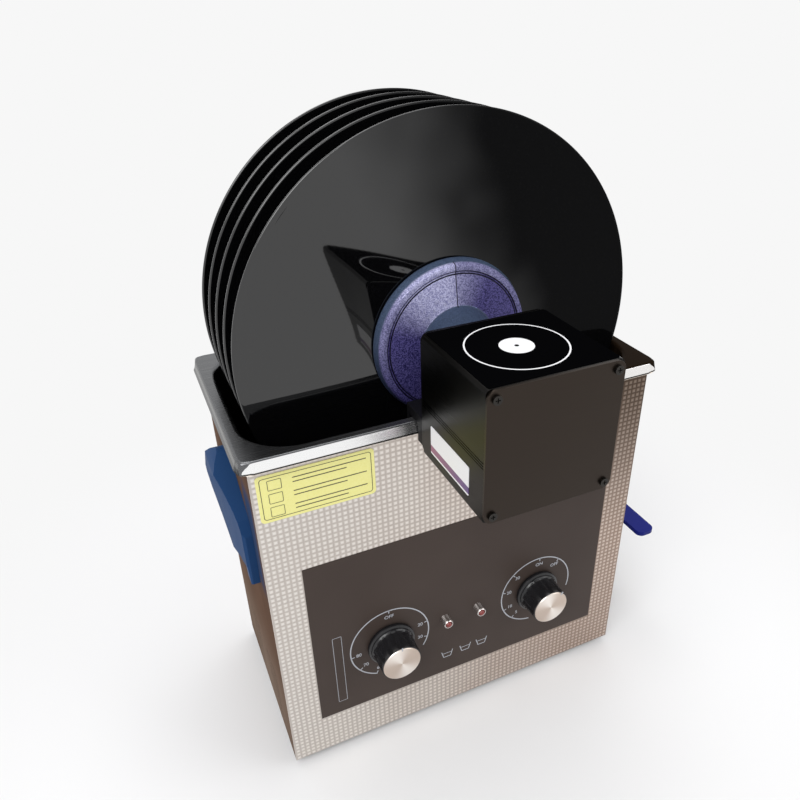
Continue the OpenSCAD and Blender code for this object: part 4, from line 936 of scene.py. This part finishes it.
# %% Clamp discs and spacers
hub = turned([(3.0, -100.9), (20.6, -100.9), (21.4, -100.7), (22, -100), (26.8, -64.4),
              (27.3, -63.2), (28.2, -62.6), (48.3, -59.5), (48.55, -59.3), (48.6, -58.7),
              (49.3, -58.7), (49.35, -59.3), (49.45, -59.35), (49.8, -59.35), (49.9, -58.7),
              (50.4, -58.7), (50.5, -59.3), (50.8, -59.4), (53.6, -59.4), (54.4, -59.2),
              (55.0, -58.4), (57.3, -52.2), (57.5, -51.7), (57.5, -50.2), (57.2, -49.9),
              (3.5, -49.9)], (0, 0, AXIS), steps=192)
piece = add("clamp_hub_turned", hub, violet, "spindle", sharp=20)
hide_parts("clamp_hub")
outer = turned([(3.62, 61.5), (57.2, 61.5), (57.5, 61.8), (57.5, 63.5), (55.0, 67.5),
                (54.4, 68.2), (53.8, 68.5), (48.5, 68.5), (21.6, 71.3), (21.0, 71.5),
                (3.62, 71.5), (3.62, 61.5)], (0, 0, AXIS), steps=160)
piece = add("outer_clamp_turned", outer, violet, "end_clamp", sharp=40)
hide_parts("outer_clamp")
softened("spacers", violet, 0.2)
print("clamps turned")

# %% [markdown]
# A record is black vinyl, pressed mirror smooth. Its groove band is a spiral too
# fine to see, so it is drawn as rings: fine ones in the bump and the roughness
# for the music, broad ones in the roughness for the gaps between the songs. The
# raised bead at the edge catches a thin line of light.

# %% Records
start, vinyl = material("black_vinyl")
x, y, up, radius = about_axis(start)
along = start.node("ShaderNodeCombineXYZ", {0: radius})
music = noise(along, 3.2, 3.0, 0.7)
songs = noise(along, 0.22, 1.0)
dust = noise(place(start), 0.7, 4.0, 0.7)
band = radius.ramp(55, 57) * (1 - radius.ramp(145.5, 147))
cloud = noise(place(start), 0.012, 2.0)
mirror = 1 - (x + up * 0.35 + (cloud - 0.5) * 90).ramp(-20, 85)
dress(start, Base_Color=mix(dust.ramp(0.5, 0.8), ink(6, 6, 7), ink(14, 14, 15)),
      Roughness=band * (songs.ramp(0.35, 0.65) * 0.035 + music * 0.02) + 0.045,
      Normal=bump(music * band, 0.12, 0.004), Specular_IOR_Level=0.03,
      Coat_Weight=mirror * 0.9 + 0.02, Coat_Roughness=0.03, Coat_IOR=1.75)
for i in range(5):
    name = f"record_{i + 1}"
    y0 = box_mm(name)[0].y
    half = [(3.62, 0), (53, 0), (53.6, 0.05), (54.2, 0.18), (146.2, 0.2), (146.9, 0.12),
            (147.5, 0.02), (149.6, 0), (150.2, 0.1), (150.6, 0.4), (150.8, 0.9)]
    other = [(r, 2.2 - d) for r, d in reversed(half)]
    disc = turned([(r, y0 + d) for r, d in half + other + half[:1]], (0, 0, AXIS), steps=256)
    piece = add(name + "_pressed", disc, vinyl, "spindle", sharp=50)
    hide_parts(name)
seal_rubber = moulded("seal_rubber", ink(22, 22, 23), 0.62, 1.2, 0.02)
coat_node("label_seals", seal_rubber)
nut_metal = brushed("nut_metal", ink(176, 176, 180), (0.9, 0.9, 0.9), 0.28)
softened("clamp_nut", nut_metal, 0.35, 2)
shaft_metal = brushed("ground_shaft", ink(198, 198, 200), (2.0, 0.05, 2.0), 0.2)
softened("spindle_rod", shaft_metal, 0.4, 2)
coat_node("motor_shaft", shaft_metal)
print("records pressed")

# %% [markdown]
# ## The drain
# A brass ball valve with a steel lever under a dip-moulded blue sleeve. Dipping
# leaves a soft, slightly glossy skin with round ends.

# %% Valve and lever
brass = brushed("plated_brass", ink(196, 184, 150), (0.4, 0.4, 0.4), 0.3)
softened("valve_body", brass, 0.5, 2)
softened("hose_barb", brass, 0.3, 2)
softened("valve_stem", bright_steel, 0.3, 2)
softened("valve_lever", brushed("lever_steel", ink(190, 190, 188), LONG_Y, 0.26), 0.4, 2)
softened("drain_nut", bright_steel, 0.4, 2)
coat_node("drain_pipe", bright_steel)
coat_node("valve_ball", chrome)
dip = moulded("dipped_sleeve", ink(16, 26, 110), 0.34, 0.6, 0.03, 0.12, shine=0.12)
softened("lever_sleeve", dip, 1.1, 4)
print("drain dressed")

# %% [markdown]
# ## Inside and behind
# The parts under the tank and in the motor box are seen only with the housing
# open, but each has its own surface: ceramic, copper, a green board with dark
# capacitors, silicone heaters, red wire.

# %% Inner parts
start, board = material("green_board")
x, y, z = place(start).xyz()
fine = noise(place(start), 0.5, 4.0)
cells = start.node("ShaderNodeTexBrick", {"Vector": place(start), "Scale": 0.09,
                   "Color1": ink(24, 92, 52), "Color2": ink(20, 78, 46),
                   "Mortar": ink(52, 128, 78)})
body = mix(fine, ink(36, 36, 42), ink(58, 58, 66))
dress(start, Base_Color=mix(z > 19.6, cells, body), Roughness=(fine - 0.5) * 0.1 + 0.4)
coat_node("generator_board", board)
start, wound = material("wound_ferrite")
x, y, z = place(start).xyz()
turns = (z * 4.2).math("SINE") * 0.5 + 0.5
inside = (z > 27) * (z < 40.5)
dress(start, Base_Color=mix(inside * (x > -19) * (x < 3), ink(48, 44, 42),
      mix(turns, ink(150, 84, 34), ink(206, 128, 66))), Roughness=0.4,
      Normal=bump(turns, 0.5, 0.1))
coat_node("output_transformer", wound)
start, inlet = material("inlet_plastic")
x, y, z = place(start).xyz()
fine = noise(place(start), 1.5, 3.0)
dress(start, Base_Color=mix(fine, ink(24, 24, 26), ink(36, 36, 38)), Metallic=0.0,
      Roughness=(fine - 0.5) * 0.1 + 0.42, Normal=bump(fine, 0.4, 0.02))
coat_node("mains_inlet", inlet)
coat_node("dc_jack", black_plastic)
simple = {
    "thermostat": moulded("control_body", ink(206, 202, 192), 0.5),
    "timer": moulded("timer_body", ink(220, 218, 212), 0.5),
    "thermostat_bulb": brushed("drawn_copper", ink(198, 122, 84), LONG_X, 0.26),
    "transducer_horns": brushed("cast_aluminium", ink(196, 196, 200), (0.3, 0.3, 2.0), 0.34),
    "transducer_ceramics": moulded("piezo_ceramic", ink(214, 208, 192), 0.6),
    "transducer_masses": brushed("dark_steel", ink(110, 110, 114), (0.4, 0.4, 2.0), 0.32),
    "heater_pads": moulded("silicone_pad", ink(198, 88, 34), 0.6, 0.7, 0.05),
    "heat_sink": brushed("extruded_sink", ink(186, 186, 190), LONG_Z, 0.36),
    "wiring_loom": moulded("wire_jacket", ink(160, 30, 28), 0.4, 0.8, 0.02),
    "gear_motor": brushed("motor_zinc", ink(180, 180, 178), (0.5, 2.0, 0.5), 0.36),
    "shaft_bush": brushed("sintered_bronze", ink(182, 136, 74), (0.7, 0.7, 0.7), 0.42),
}
for name, coat in simple.items():
    coat_node(name, coat)
print("inner parts dressed:", len(simple) + 5)

# %% Check the size and finish
low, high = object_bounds()
print("grown by, mm:", [round(1000 * (a - b), 2) for a, b in zip((*low, *high),
                                                                  (*cad_low, *cad_high))])
